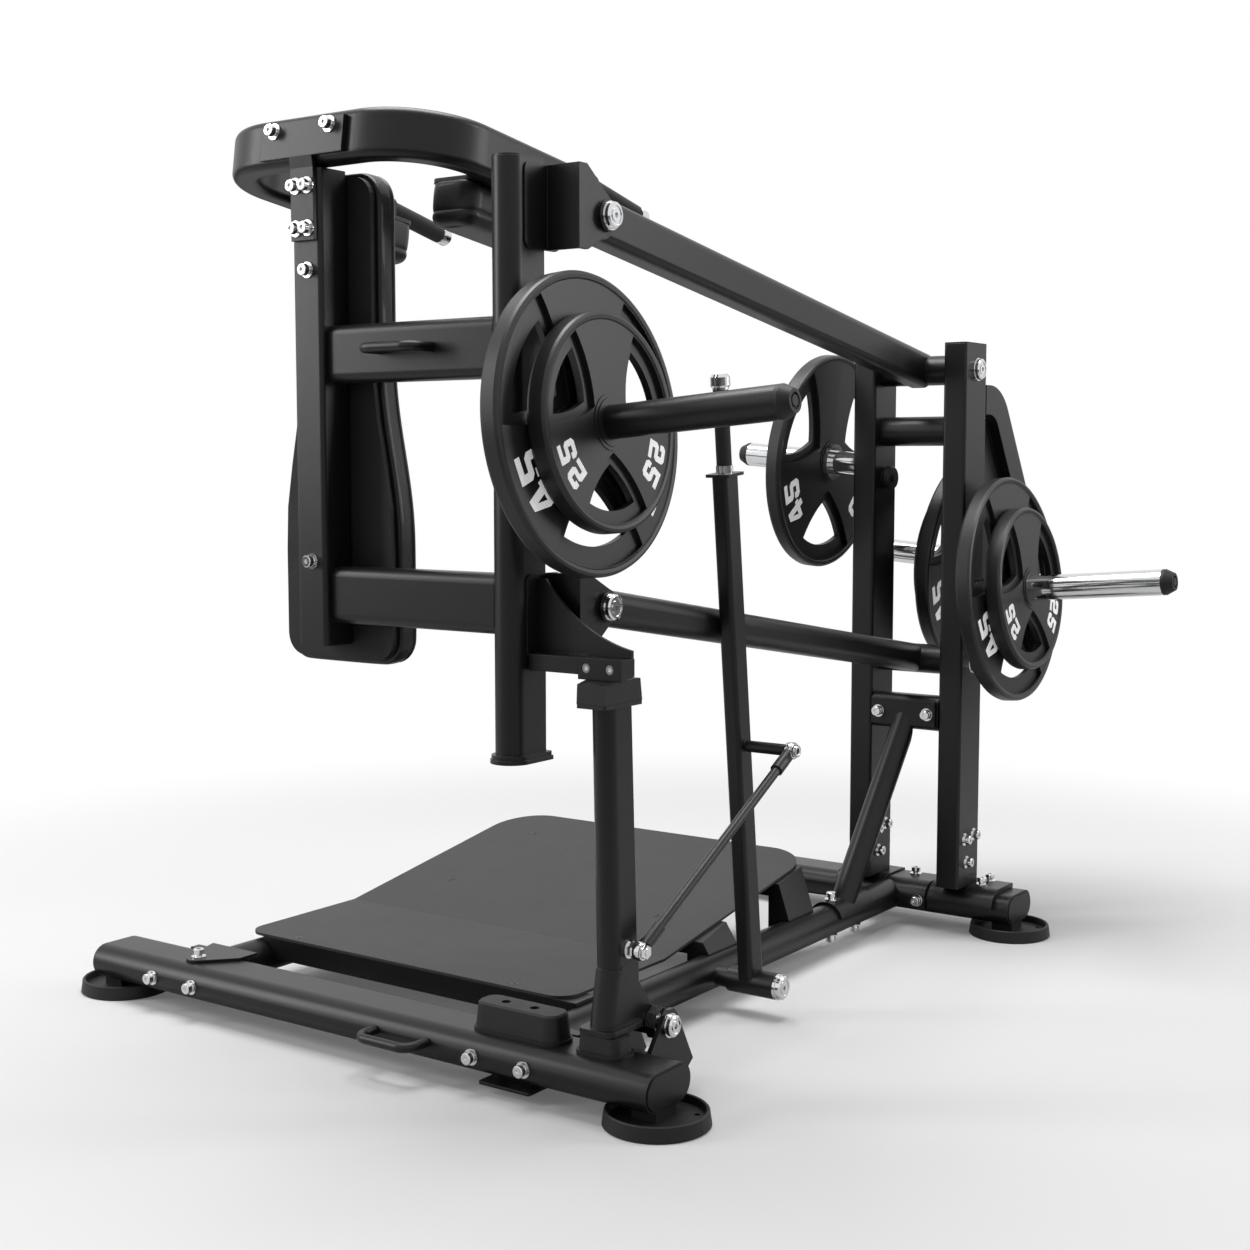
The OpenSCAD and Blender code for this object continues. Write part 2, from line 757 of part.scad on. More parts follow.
module upright_cross_tube() color(black_paint) place()
  translate([far_upright_face, upright_y, 1036]) rotate([0, 90, 0]) difference() {
    cylinder(d = 60, h = near_upright_inner - far_upright_face);
    translate([0, 0, -1]) cylinder(d = 54, h = near_upright_inner - far_upright_face + 2);
  }

module brace_cross_member() color(black_paint) place() difference() {
  along_x(far_upright_face, near_upright_inner - far_upright_face,
    cross_member_y + cross_member_d / 2, cross_member_z) difference() {
      round_rect(cross_member_d, cross_member_h, 18);
      round_rect(cross_member_d - 8, cross_member_h - 8, 14);
    }
  bolt_holes(cross_member_bolts);
}

// The diagonal brace, with a saddle on the side tube and a flange on the cross member
module brace_tube() color(black_paint) place() {
  low = [near_tube_x, brace_foot_y - 20, beam_z];
  high = [upright_gap_x, cross_member_y + 20, cross_member_z];
  v = high - low;
  len = norm(v);
  difference() {
    union() {
      translate(low) rotate([0, acos(v[2] / len), atan2(v[1], v[0])]) cylinder(d = 50, h = len);
      intersection() {
        rod_y(brace_foot_y - 72, 144, near_tube_x, beam_z, side_tube_d + 12.4);
        translate([near_tube_x - 50, brace_foot_y - 80, beam_z + 8]) cube([100, 160, 60]);
      }
      translate([upright_gap_x - 72, cross_member_y - 8, cross_member_z - 26]) cube([144, 8, 52]);
    }
    translate([upright_gap_x - 200, cross_member_y, 200]) cube([400, 200, 500]);
    rod_y(0, wheelbase, near_tube_x, beam_z, side_tube_d + 2 * seat_gap);
    bolt_holes(cross_member_bolts);
    bolt_holes(brace_bolts);
  }
}

module frame_bolts() color(chrome) place() {
  bolts(front_beam_bolts);
  bolts(gusset_bolts);
  bolts(rear_wrap_bolts);
  bolts(saddle_bolts);
  bolts(upright_side_bolts);
  bolts(brace_bolts);
  bolts(brace_nuts);
  bolts(cross_member_bolts);
}

bumper_x = near_tube_x + 3;
bumper_w = 172;
bumper_l = 64;

module carriage_bumper() color(rubber) place() difference() {
  union() {
    translate([bumper_x, 0, beam_top]) linear_extrude(6) round_rect(bumper_w, bumper_l, 27);
    translate([bumper_x, 0, beam_top + 6]) draft_block(bumper_w - 6, bumper_l - 6, 24, 37, 4);
    translate([bumper_x, 0, beam_top + 43]) draft_block(bumper_w - 14, bumper_l - 14, 20, 3, 3);
  }
  for (s = [-1, 1])
    translate([bumper_x - 5 + s * 28, 0, beam_top + 20]) cylinder(d = 15, h = 40);
}

// A block with round corners whose sides draw in by the same amount all round
module draft_block(w, l, r, h, t) {
  for (sx = [-1, 1], sy = [-1, 1])
    translate([sx * (w / 2 - r), sy * (l / 2 - r), 0]) cylinder(r1 = r, r2 = r - t, h = h);
  if (l > 2 * r)
    along_y(r - l / 2, l - 2 * r) polygon([[-w / 2, 0], [w / 2, 0], [w / 2 - t, h], [t - w / 2, h]]);
  along_x(r - w / 2, w - 2 * r) polygon([[-l / 2, 0], [l / 2, 0], [l / 2 - t, h], [t - l / 2, h]]);
}

module front_grab_handle() color(black_paint) place() grab_handle(141, -beam_depth / 2, beam_z + 5);

module bumper_backing_plate() color(black_paint) place() {
  translate([bumper_x, -10, beam_clear - 15]) linear_extrude(5) round_rect(100, 80, 4);
  for (s = [-1, 1])
    translate([bumper_x + s * 32, -10, beam_clear - 10]) cylinder(d = 14, h = 10);
}

prop_pad_top = 119.5;

module prop_pad() color(rubber) place() {
  translate([prop_x + 4, 0, beam_top]) linear_extrude(6) round_rect(86, 56, 20);
  translate([prop_x + 4, 0, beam_top + 6]) draft_block(76, 48, 14, prop_pad_top - beam_top - 6, 2);
}

// Two ears with a sloping web, welded to the rear of the front beam
module prop_bracket() color(black_paint) place() difference() {
  union() {
    for (x = [prop_far_ear_x, prop_ear_x])
      along_x(x, x == prop_ear_x ? prop_ear_t : ear_t) polygon([
        [46, 80], [88, 132], [98, 139], [112, 139], [122, 128], [166, 46], [150, 34], [52, 50]
      ]);
    along_x(prop_far_ear_x + eps, prop_ear_x - prop_far_ear_x) polygon([
      [60, 52], [64, 46], [150, 34], [158, 42], [72, 60]
    ]);
  }
  beam_body(0, seat_gap);
  rod_x(prop_far_ear_x - 10, 120, prop_pivot_y, prop_pivot_z, prop_bolt_d + 2 * seat_gap);
}

module pivot_shafts() color(chrome) place() {
  for (z = [upper_pivot_z, lower_pivot_z]) {
    rod_x(far_upright_x - upright_w / 2 - 2, near_upright_face - far_upright_x + upright_w / 2 + 4,
      upright_y, z, shaft_d);
    pivot_head(near_upright_face, upright_y, z, "near");
    pivot_head(far_upright_x - upright_w / 2, upright_y, z, "far");
  }
  rod_x(prop_far_ear_x - 2, prop_ear_x + prop_ear_t - prop_far_ear_x + 4, prop_pivot_y, prop_pivot_z,
    prop_bolt_d);
  pivot_head(prop_ear_x + prop_ear_t, prop_pivot_y, prop_pivot_z, "near", prop_head_d);
  pivot_head(prop_far_ear_x, prop_pivot_y, prop_pivot_z, "far", prop_head_d);
  rod_x(near_tube_x + 20, lever_hub_x1 - near_tube_x - 18, lever_pivot_y, lever_pivot_z, lever_pin_d);
  translate([0.5, 0, 0]) pivot_head(lever_hub_x1, lever_pivot_y, lever_pivot_z, "near");
}

// Local +Z runs out along a horn whose root is at this point
module at_horn(x, y, z, way) {
  translate([x, y, z]) rotate([0, way * (90 - horn_tilt), 0]) children();
}

// The horn starts inside its face and is cut flush there
module horn(x, y, z, way, len, stop) {
  difference() {
    at_horn(x, y, z, way) union() {
      translate([0, 0, -10]) cylinder(d = horn_d, h = len + 10);
      translate([0, 0, stop - collar_t]) cylinder(d = collar_d, h = collar_t);
    }
    translate([way > 0 ? x - 60 : x, y - 60, z - 60]) cube([60, 120, 120]);
  }
}

module horn_cap(x, y, z, way, len) {
  at_horn(x, y, z, way) translate([0, 0, len]) rotate_extrude() polygon([
    [0, 0], [horn_d / 2, 0], [horn_d / 2, 6], [horn_d / 2 - 8, horn_cap_len],
    [12, horn_cap_len], [11, horn_cap_len - 3], [9, horn_cap_len - 3], [8, horn_cap_len], [0, horn_cap_len]
  ]);
}

load_stop = (load_plate_x - post_near_x) / cos(horn_tilt);
near_stop = (near_plate_x - near_upright_face) / cos(horn_tilt);
far_stop = (far_horn_x - far_plate_x) / cos(horn_tilt);
rear_stop = (rear_horn_x - rear_plate_x) / cos(horn_tilt);

module storage_horns() color(chrome) place() {
  horn(near_upright_face, near_horn_y, near_horn_z, 1, near_horn_len, near_stop);
  horn(far_horn_x, upright_y, far_horn_z, -1, far_horn_len, far_stop);
  horn(rear_horn_x, rear_plate_y, rear_horn_z, -1, rear_horn_len, rear_stop);
}

module horn_caps() color(rubber) place() {
  horn_cap(near_upright_face, near_horn_y, near_horn_z, 1, near_horn_len);
  horn_cap(far_horn_x, upright_y, far_horn_z, -1, far_horn_len);
  horn_cap(rear_horn_x, rear_plate_y, rear_horn_z, -1, rear_horn_len);
}

// A bent tube with a web, from the back of the near upright down to the rear horn
arm_top_z = 1130;
arm_depth = 60;
arm_bend_r = 110;
arm_run_angle = atan2(103, 158);
upright_back = upright_y + upright_d / 2;

module rear_storage_arm() color(black_paint) place() difference() {
  union() {
    along_x(near_upright_inner, upright_w) rear_arm_side();
    along_x(near_upright_x - 3, 6) rear_arm_web();
  }
  at_horn(rear_horn_x, rear_plate_y, rear_horn_z, -1) translate([0, 0, -80]) cylinder(d = 13, h = 60);
}

arm_mid = [upright_back + 20, arm_top_z - arm_bend_r];
arm_start = arm_mid + arm_bend_r * [cos(arm_run_angle), sin(arm_run_angle)];
arm_dir = [sin(arm_run_angle), -cos(arm_run_angle)];
arm_inward = [-cos(arm_run_angle), -sin(arm_run_angle)];
arm_run = 400;

module rear_arm_side() {
  square_top = arm_top_z - arm_depth;
  translate([upright_back, square_top]) square([20, arm_depth]);
  intersection() {
    translate(arm_mid) difference() {
      circle(arm_bend_r);
      circle(arm_bend_r - arm_depth);
    }
    polygon([
      arm_mid, arm_mid + [0, 300], arm_mid + [300, 300],
      arm_mid + 400 * [cos(arm_run_angle), sin(arm_run_angle)]
    ]);
  }
  polygon([
    arm_start, arm_start + arm_run * arm_dir, arm_start + arm_run * arm_dir + arm_depth * arm_inward,
    arm_start + arm_depth * arm_inward
  ]);
}

module rear_arm_web() {
  polygon([
    [upright_back, arm_top_z - arm_depth + 4],
    [upright_back + 24, arm_top_z - arm_depth + 4],
    arm_start + (arm_depth - 4) * arm_inward,
    arm_start + (arm_run - 6) * arm_dir + (arm_depth - 4) * arm_inward,
    [upright_back, 700]
  ]);
}

module stop_knob() color(rubber) place() translate([far_upright_face, upright_y, 940]) rotate([0, 90, 0]) {
  cylinder(d = 44, h = 4);
  translate([0, 0, 4]) cylinder(d1 = 44, d2 = 50, h = 4);
  translate([0, 0, 8]) cylinder(d = 50, h = 8);
  translate([0, 0, 16]) cylinder(d1 = 50, d2 = 42, h = 4);
  translate([0, 0, -12]) cylinder(d = 12, h = 12 + eps);
  translate([0, 0, 20]) cylinder(d = 16, h = 4);
}

// Return spring: one tube of wire wound round the prop's bolt
spring_x = prop_ear_x - spring_pitch * spring_turns - spring_wire / 2 - 0.6;
spring_steps = 8;
spring_points = [
  for (i = [0:spring_turns * spring_steps])
    let (a = i * 360 / spring_steps)
    [spring_x + spring_pitch * i / spring_steps, spring_d / 2 * cos(a), spring_d / 2 * sin(a)]
];
// Least gap between two neighbouring curls
spring_self_gap = min([
  for (i = [0:(spring_turns - 1) * spring_steps]) norm(spring_points[i + spring_steps] - spring_points[i])
]) - spring_wire;
echo(spring_self_gap = spring_self_gap);

module return_spring() color(black_paint) place() translate([0, prop_pivot_y, prop_pivot_z])
  wire_tube(spring_points, spring_wire / 2, 6, spring_steps);

// A tube with flat sides along a coil about the X axis, its rings square to the coil
module wire_tube(path, r, sides, steps) {
  n = len(path);
  points = [
    for (i = [0:n - 1])
      let (a = i * 360 / steps, out = [0, cos(a), sin(a)])
      for (k = [0:sides - 1])
        let (b = k * 360 / sides)
        path[i] + r * (cos(b) * out + sin(b) * [1, 0, 0])
  ];
  walls = [
    for (i = [0:n - 2], k = [0:sides - 1])
      let (a = i * sides + k, b = i * sides + (k + 1) % sides)
      each [[a, a + sides, b], [b, a + sides, b + sides]]
  ];
  caps = [
    for (k = [1:sides - 2]) each [
      [0, k, k + 1],
      [(n - 1) * sides, (n - 1) * sides + k + 1, (n - 1) * sides + k]
    ]
  ];
  polyhedron(points, concat(walls, caps));
}

// ---- links ---------------------------------------------------------------------------

// A link in its own line: the rear pivot at 0, the front pivot at its full length
module link(z, h, r, boss) {
  translate([link_x, upright_y, z]) {
    difference() {
      union() {
        rod_x(far_upright_face + 0.5 - link_x, near_upright_inner - far_upright_face - 1, 0, 0, sleeve_d);
        rotate([180 - link_angle, 0, 0]) {
          rotate([-90, 0, 0]) linear_extrude(link_length) difference() {
            round_rect(link_w, h, r);
            round_rect(link_w - 8, h - 8, r - 4);
          }
          rod_x(-link_w / 2, link_w, link_length, 0, boss);
        }
      }
      rod_x(-100, 200, 0, 0, shaft_d + 2 * running);
      rotate([180 - link_angle, 0, 0]) {
        rod_x(-100, 200, link_length, 0, link_bolt_d + 2 * running);
        difference() {
          translate([-60, link_length, -60]) cube([120, 120, 120]);
          rod_x(-70, 140, link_length, 0, boss + eps);
        }
      }
    }
    rod_ring(boss);
  }
}

// Tube walls that close a link's front end round its bore
module rod_ring(boss) {
  rotate([180 - link_angle, 0, 0]) difference() {
    rod_x(-link_w / 2, link_w, link_length, 0, boss);
    rod_x(-100, 200, link_length, 0, link_bolt_d + 2 * running);
  }
}

module upper_link() color(black_paint) place() link(upper_pivot_z, upper_link_h, 14, upper_link_h);

module lower_link() color(black_paint) place() link(lower_pivot_z, lower_link_h, 22, lower_link_h);

// ---- carriage ------------------------------------------------------------------------

module post_outline(inset) {
  w = post_w - 2 * inset;
  translate([post_x, post_front + post_w / 2]) circle(w / 2);
  translate([post_x - w / 2, post_front + post_w / 2]) square([w, post_d - post_w / 2 - inset - 6]);
  translate([post_x - w / 2 + 6, post_front + post_w / 2]) square([w - 12, post_d - post_w / 2 - inset]);
  for (s = [-1, 1])
    translate([post_x + s * (w / 2 - 6), post_front + post_d - inset - 6]) circle(6);
}

module carriage_post() color(black_paint) place() {
  difference() {
    translate([0, 0, post_bottom]) linear_extrude(post_top - post_bottom - 3) post_outline(0);
    translate([0, 0, post_bottom + 4]) linear_extrude(post_top - post_bottom - 11) post_outline(4);
  }
  translate([0, 0, post_top - 3]) linear_extrude(3) post_outline(1);
  translate([0, 0, post_bottom - 7]) linear_extrude(7) post_outline(-6);
  translate([0, 0, post_bottom - 13]) linear_extrude(6 + eps) post_outline(-8);
}

// Seen from the side: a plate that tapers to a round nose about its pivot
module ear_outline(up) {
  nose = 28;
  translate([link_front_y, 0]) circle(nose);
  polygon([
    [web_y, -54 * up], [web_y, 72 * up], [web_y + 20, 72 * up],
    [link_front_y + nose * 0.62, nose * 0.8 * up], [link_front_y + nose * 0.6, -nose * 0.8 * up],
    [web_y + 22, -54 * up]
  ]);
}

module clevis(z, up) {
  low = up > 0 ? -54 : -72;
  difference() {
    union() {
      translate([0, 0, z]) {
        along_x(clevis_near_x, ear_t) ear_outline(up);
        along_x(clevis_far_x - ear_t, ear_t) ear_outline(up);
        translate([clevis_far_x - ear_t, web_y + seat_gap, low])
          cube([clevis_out_x - clevis_far_x + ear_t, web_t, 126]);
        along_x(post_near_x, clevis_plate_t) translate([post_front + 56, low + 63]) round_rect(54, 126, 12);
        translate([post_near_x, post_back - 22, low]) cube([clevis_plate_t, 22 + seat_gap + eps, 126]);
      }
      rod_x(clevis_out_x - eps, 6, link_front_y, z, pivot_head_d + 6);
    }
    rod_x(clevis_far_x - 40, 140, link_front_y, z, link_bolt_d + 2 * seat_gap);
  }
}

module link_clevises() color(black_paint) place() difference() {
  union() {
    clevis(upper_front_z, 1);
    clevis(lower_front_z, -1);
  }
  translate([post_near_x - post_w, post_front, post_bottom]) cube([post_w, post_d, 2000]);
}

module load_horn() color(black_paint) place()
  horn(post_near_x, load_horn_y, post_horn_z, 1, load_horn_len, load_stop);

module load_horn_cap() color(rubber) place()
  horn_cap(post_near_x, load_horn_y, post_horn_z, 1, load_horn_len);

// The gusset's edge sweeps from the post down to the end of the bar
gusset_a = [post_near_x + 16, rest_block_top + 112];
gusset_b = [rest_block_x1, rest_block_top + 12];
gusset_l = norm(gusset_b - gusset_a);
gusset_s = 18;
gusset_r = gusset_l * gusset_l / 8 / gusset_s + gusset_s / 2;
gusset_c = (gusset_a + gusset_b) / 2
  + [gusset_a[1] - gusset_b[1], gusset_b[0] - gusset_a[0]] / gusset_l * (gusset_r - gusset_s);

module rest_bracket() color(black_paint) place() difference() {
  union() {
    translate([post_near_x + clevis_plate_t, rest_block_y0, rest_bar_z])
      cube([rest_block_x0 - post_near_x - clevis_plate_t, rest_block_y1 - rest_block_y0, rest_block_top - rest_bar_z]);
    along_y(rest_block_y1 - 8, 6) difference() {
      translate([post_near_x + clevis_plate_t, rest_block_top - eps])
        square([rest_block_x1 - post_near_x - clevis_plate_t, 112]);
      translate(gusset_c) circle(gusset_r);
    }
  }
  translate([rest_block_x0, rest_block_y0 - 1, rest_block_top - 100])
    cube([rest_block_x1 - rest_block_x0 + 1, rest_block_y1 - rest_block_y0 + 2, 100 + seat_gap]);
}

rest_screw_z = 670;

module rest_block() color(black_paint) place() difference() {
  translate([rest_block_x0, rest_block_y0, prop_top - 2])
    cube([rest_block_x1 - rest_block_x0, rest_block_y1 - rest_block_y0, rest_block_top - prop_top + 2]);
  rod_x(rest_block_x0 - 10, 120, prop_pivot_y, prop_pivot_z, 2 * rest_arc_r);
  for (x = [rest_block_x0 + 14, rest_block_x1 - 22])
    translate([x, rest_block_y0 - 1, rest_screw_z]) rotate([-90, 0, 0]) cylinder(d = 14 + 2 * bolt_play, h = 12);
}

module cross_tubes() color(black_paint) place()
  for (z = [upper_cross_z, lower_cross_z])
    along_x(seat_x + spine_w / 2, post_near_x - post_w - seat_x - spine_w / 2, 0, z) difference() {
      round_rect(cross_d, cross_h, 16);
      round_rect(cross_d - 8, cross_h - 8, 12);
    }

module carriage_grab_handle() color(black_paint) place() grab_handle(135, -cross_d / 2, upper_cross_z + 4);

spine_bolts = [
  [seat_x + 3, spine_front, 1280, "front"],
  [seat_x + 3, spine_front, 813, "front"]
];
plate_face = spine_front - 8;
t_plate_bolts = [
  for (s = [-1, 1], z = [1345, 1412]) [seat_x + s * 13, plate_face, z, "front"]
];
loop_bolts = [for (s = [-1, 1]) [seat_x + s * 61, -8, 14]];

module back_spine() color(black_paint) place() difference() {
  translate([seat_x, (spine_front + spine_back) / 2, spine_bottom])
    linear_extrude(spine_top - spine_bottom) difference() {
      round_rect(spine_w, spine_d, 8);
      round_rect(spine_w - 6, spine_d - 6, 5);
    }
  bolt_holes(spine_bolts);
  bolt_holes(t_plate_bolts);
}

// The shoulder frame's own sloping plane
module on_frame() {
  translate([seat_x, frame_front + frame_t / 2, frame_front_z]) rotate([-frame_slope, 0, 0]) children();
}

module frame_section(inset) {
  round_rect(frame_t - 2 * inset, frame_h - 2 * inset, 14 - inset / 2);
}

module frame_path(inset) {
  bend = frame_bend_r - frame_t / 2;
  straight = arm_x - bend;
  rotate([90, 0, 90]) translate([0, 0, -straight]) linear_extrude(2 * straight) frame_section(inset);
  for (s = [-1, 1]) {
    translate([s * straight, bend, 0]) rotate([0, 0, s > 0 ? -90 : 180])
      rotate_extrude(angle = 90) translate([bend, 0]) frame_section(inset);
    translate([s * arm_x, frame_len - frame_t / 2 - inset, 0]) rotate([90, 0, 0])
      linear_extrude(frame_len - frame_t / 2 - bend - inset) frame_section(inset);
  }
}

module shoulder_frame() color(black_paint) place() difference() {
  on_frame() frame_path(0);
  on_frame() frame_path(4);
  for (b = loop_bolts)
    on_frame() translate([b[0] - seat_x, -frame_t / 2, b[2]]) rotate([90, 0, 0])
      translate([0, 0, -14]) cylinder(d = bolt_d + 2 * bolt_play, h = 20);
}

// A point of the frame's own plane, seen from the side
function frame_point(y, z) = [
  frame_front + frame_t / 2 + y * cos(frame_slope) + z * sin(frame_slope),
  frame_front_z - y * sin(frame_slope) + z * cos(frame_slope)
];

// A T shaped plate: its leg stands on the spine and its bar follows the frame's front
module shoulder_frame_plate() color(black_paint) place() {
  thick = 8;
  face = -frame_t / 2 - seat_gap;
  bar_low = -30;
  bar_high = 28;
  difference() {
    along_x(seat_x - 90, 180) polygon([
      [spine_front, 1326], [spine_front, 1440], frame_point(face, bar_low), frame_point(face, bar_high),
      frame_point(face - thick, bar_high), frame_point(face - thick, bar_low), [spine_front - thick, 1440],
      [spine_front - thick, 1326]
    ]);
    for (s = [-1, 1])
      translate([seat_x + s * 65 - 40, -100, 1300]) cube([80, 100, frame_point(face, bar_low)[1] - 1300]);
    bolt_holes(t_plate_bolts);
    for (b = loop_bolts)
      on_frame() translate([b[0] - seat_x, -frame_t / 2, b[2]]) rotate([90, 0, 0])
        translate([0, 0, -14]) cylinder(d = bolt_d + 2 * bolt_play, h = 40);
  }
}

module socket_screw(x, z) {
  translate([x, rest_block_y0 + 11, z]) rotate([90, 0, 0]) difference() {
    cylinder(d = 14, h = 10);
    translate([0, 0, 5]) cylinder(d = 8, h = 6, $fn = 6);
  }
}

module carriage_bolts() color(chrome) place() {
  bolts(spine_bolts);
  bolts(t_plate_bolts);
  for (b = loop_bolts)
    on_frame() translate([b[0] - seat_x, -frame_t / 2 - 8.2, b[2]]) rotate([90, 0, 0]) hex_bolt(bolt_d, 18);
  for (x = [rest_block_x0 + 14, rest_block_x1 - 22])
    socket_screw(x, rest_screw_z);
  for (z = [upper_front_z, lower_front_z]) {
    rod_x(clevis_far_x - ear_t - 4, clevis_out_x + 6 - clevis_far_x + ear_t + 6, link_front_y, z, link_bolt_d);
    pivot_head(clevis_out_x + 6, link_front_y, z, "near", pivot_head_d - 2);
    translate([clevis_far_x - ear_t, link_front_y, z]) facing("far") cylinder(d = 34, h = 10, $fn = 6);
  }
}

handle_drop = 5;
handle_d = 25;
module at_handle(s) {
  on_frame() translate([s * arm_x, frame_len - frame_t / 2, 22]) rotate([-90 - handle_drop, 0, 0]) children();
}

module handle_tubes() color(chrome) place()
  for (s = [-1, 1])
    difference() {
      at_handle(s) {
        translate([0, 0, -6]) cylinder(d = handle_d, h = handle_len + 6 - knob_len);
        translate([0, 0, handle_len - knob_len]) end_knob();
      }
      on_frame() translate([s * arm_x - 60, frame_len - frame_t / 2 - 60, -60]) cube([120, 60, 120]);
    }

module handle_grips() color(rubber) place()
  for (s = [-1, 1])
    at_handle(s) translate([0, 0, 6]) difference() {
      cylinder(d = grip_d, h = handle_len - knob_len - 6 - seat_gap);
      translate([0, 0, -1]) cylinder(d = handle_d + 2 * seat_gap, h = handle_len);
    }

pad_y0 = 150;
pad_x = frame_half_w - frame_t - 4 - shoulder_w / 2;

module pad_brackets() color(black_paint) place()
  for (s = [-1, 1])
    on_frame() {
      translate([s * pad_x, pad_y0 + shoulder_len / 2, -34]) linear_extrude(7)
        round_rect(shoulder_w - 6, shoulder_len - 12, 14);
      translate([s * (frame_half_w - frame_t - seat_gap) - (s > 0 ? 8 : 0), pad_y0 + 20, -27])
        cube([8, shoulder_len - 40, 24]);
      translate([s * (frame_half_w - frame_t - seat_gap) - (s > 0 ? 30 : 0), pad_y0 + 20, -27.5])
        cube([30, shoulder_len - 40, 6]);
    }

// A pad's outline grows from top_w to low_w over flare_len, from flare_y on
function ease(t) = t <= 0 ? 0 : t >= 1 ? 1 : t * t * (3 - 2 * t);
function half_width(y, shape) = (shape[0] + (shape[1] - shape[0]) * ease((y - shape[2]) / shape[3])) / 2;

// One side of the outline from its upper to its lower end, with round corners
function pad_side(l, r, inset, shape, corner = 6, side = 9) = concat(
  [
    for (i = [0:corner])
      let (a = -90 + 90 * i / corner)
      [half_width(r - l / 2, shape) - r + (r - inset) * cos(a), r - l / 2 + (r - inset) * sin(a)]
  ],
  [
    for (i = [1:side])
      let (y = r - l / 2 + (l - 2 * r) * i / (side + 1))
      [half_width(y, shape) - inset, y]
  ],
  [
    for (i = [0:corner])
      let (a = 90 * i / corner)
      [half_width(l / 2 - r, shape) - r + (r - inset) * cos(a), l / 2 - r + (r - inset) * sin(a)]
  ]
);

function pad_ring(l, r, inset, shape) =
  let (right = pad_side(l, r, inset, shape))
  concat(right, [for (i = [len(right) - 1:-1:0]) [-right[i][0], right[i][1]]]);

// A crowned cushion: its sides swell, draw in at the seam and roll over to the crown
module cushion(l, t, r, crown, shape) {
  // Each level: share of the thickness, inset of the outline
  levels = [
    [0, 5], [0.06, 1.5], [0.2, 0.4], [0.45, 1.6], [0.7, 0], [0.84, 3], [0.93, 9], [0.98, 17]
  ];
  rings = [for (v = levels) [for (p = pad_ring(l, r, v[1], shape)) [p[0], p[1], v[0] * t]]];
  n = len(levels);
  m = len(rings[0]);
  points = concat([for (ring = rings) each ring], [[0, 0, 0], [0, 0, t + crown]]);
  walls = [
    for (j = [0:n - 2], i = [0:m - 1])
      let (a = j * m + i, b = j * m + (i + 1) % m)
      each [[a, a + m, b], [b, a + m, b + m]]
  ];
  ends = [
    for (i = [0:m - 1]) each [
      [n * m, i, (i + 1) % m],
      [n * m + 1, (n - 1) * m + (i + 1) % m, (n - 1) * m + i]
    ]
  ];
  polyhedron(points, concat(walls, ends));
}

module shoulder_pads() color(vinyl) place()
  for (s = [-1, 1])
    on_frame() translate([s * pad_x, pad_y0 + shoulder_len / 2, -34 - seat_gap]) rotate([180, 0, 0])
      cushion(shoulder_len, shoulder_t - 3, 30, 3, [shoulder_w, shoulder_w, 0, 1]);

back_y = spine_back + seat_gap;
back_mid_z = (back_bottom + back_top) / 2;
// The pad keeps its upper width down to this height, then widens over this length
back_flare_z = 1130;
back_flare_len = 280;
back_shape = [back_top_w, back_w, back_mid_z - back_flare_z, back_flare_len];

module back_board() color(black_paint) place() {
  translate([seat_x, back_y + board_t, back_mid_z]) rotate([90, 0, 0])
    linear_extrude(board_t) mirror([0, 1]) polygon(pad_ring(back_top - back_bottom, 46, 9, back_shape));
}

module back_cushion() color(vinyl) place()
  translate([seat_x, back_y + board_t + seat_gap, back_mid_z]) rotate([-90, 0, 0])
    cushion(back_top - back_bottom, back_t - 4, 46, 4, back_shape);

// ---- prop and release lever ----------------------------------------------------------

prop_foot_y = 22;

// A foot flange, a flared boot, a tube with a round front and a hub on the pivot bolt
module prop_post() color(black_paint) place() difference() {
  union() {
    translate([0, 0, prop_pad_top + 0.4]) linear_extrude(9)
      translate([prop_x, prop_foot_y]) round_rect(64, 90, 12);
    prop_sides();
    rod_x(prop_hub_x0, prop_hub_x1 - prop_hub_x0, prop_pivot_y, prop_pivot_z, prop_hub_d);
    along_x(prop_hub_x0, prop_hub_x1 - prop_hub_x0) polygon([
      [56, prop_pad_top + 0.4], [prop_pivot_y, prop_pivot_z - 8], [prop_pivot_y + 12, prop_pivot_z + 14],
      [62, 190], [50, 190]
    ]);
  }
  along_x(prop_x - prop_w / 2 + 4, prop_w - 8) polygon([
    [prop_knee_front + 24, prop_knee_z], [prop_knee_front + prop_d - 2, prop_knee_z],
    [prop_top_front + prop_d - 4, prop_cap_z - 4], [prop_top_front + 24, prop_cap_z - 4]
  ]);
  rod_x(prop_hub_x0 - 10, 100, prop_pivot_y, prop_pivot_z, prop_bolt_d + 2 * running);
  rod_x(prop_x, 60, prop_ball[1], prop_ball[2], stud_d + 2 * seat_gap);
}

prop_knee_z = 214;
prop_knee_front = 0;
prop_top_front = -12;

// A round bar between two points in a plane across the prop
module leaning_bar(y0, z0, y1, z1, d) {
  v = [y1 - y0, z1 - z0];
  translate([prop_x, y0, z0]) rotate([-atan2(v[0], v[1]), 0, 0]) cylinder(d = d, h = norm(v));
}

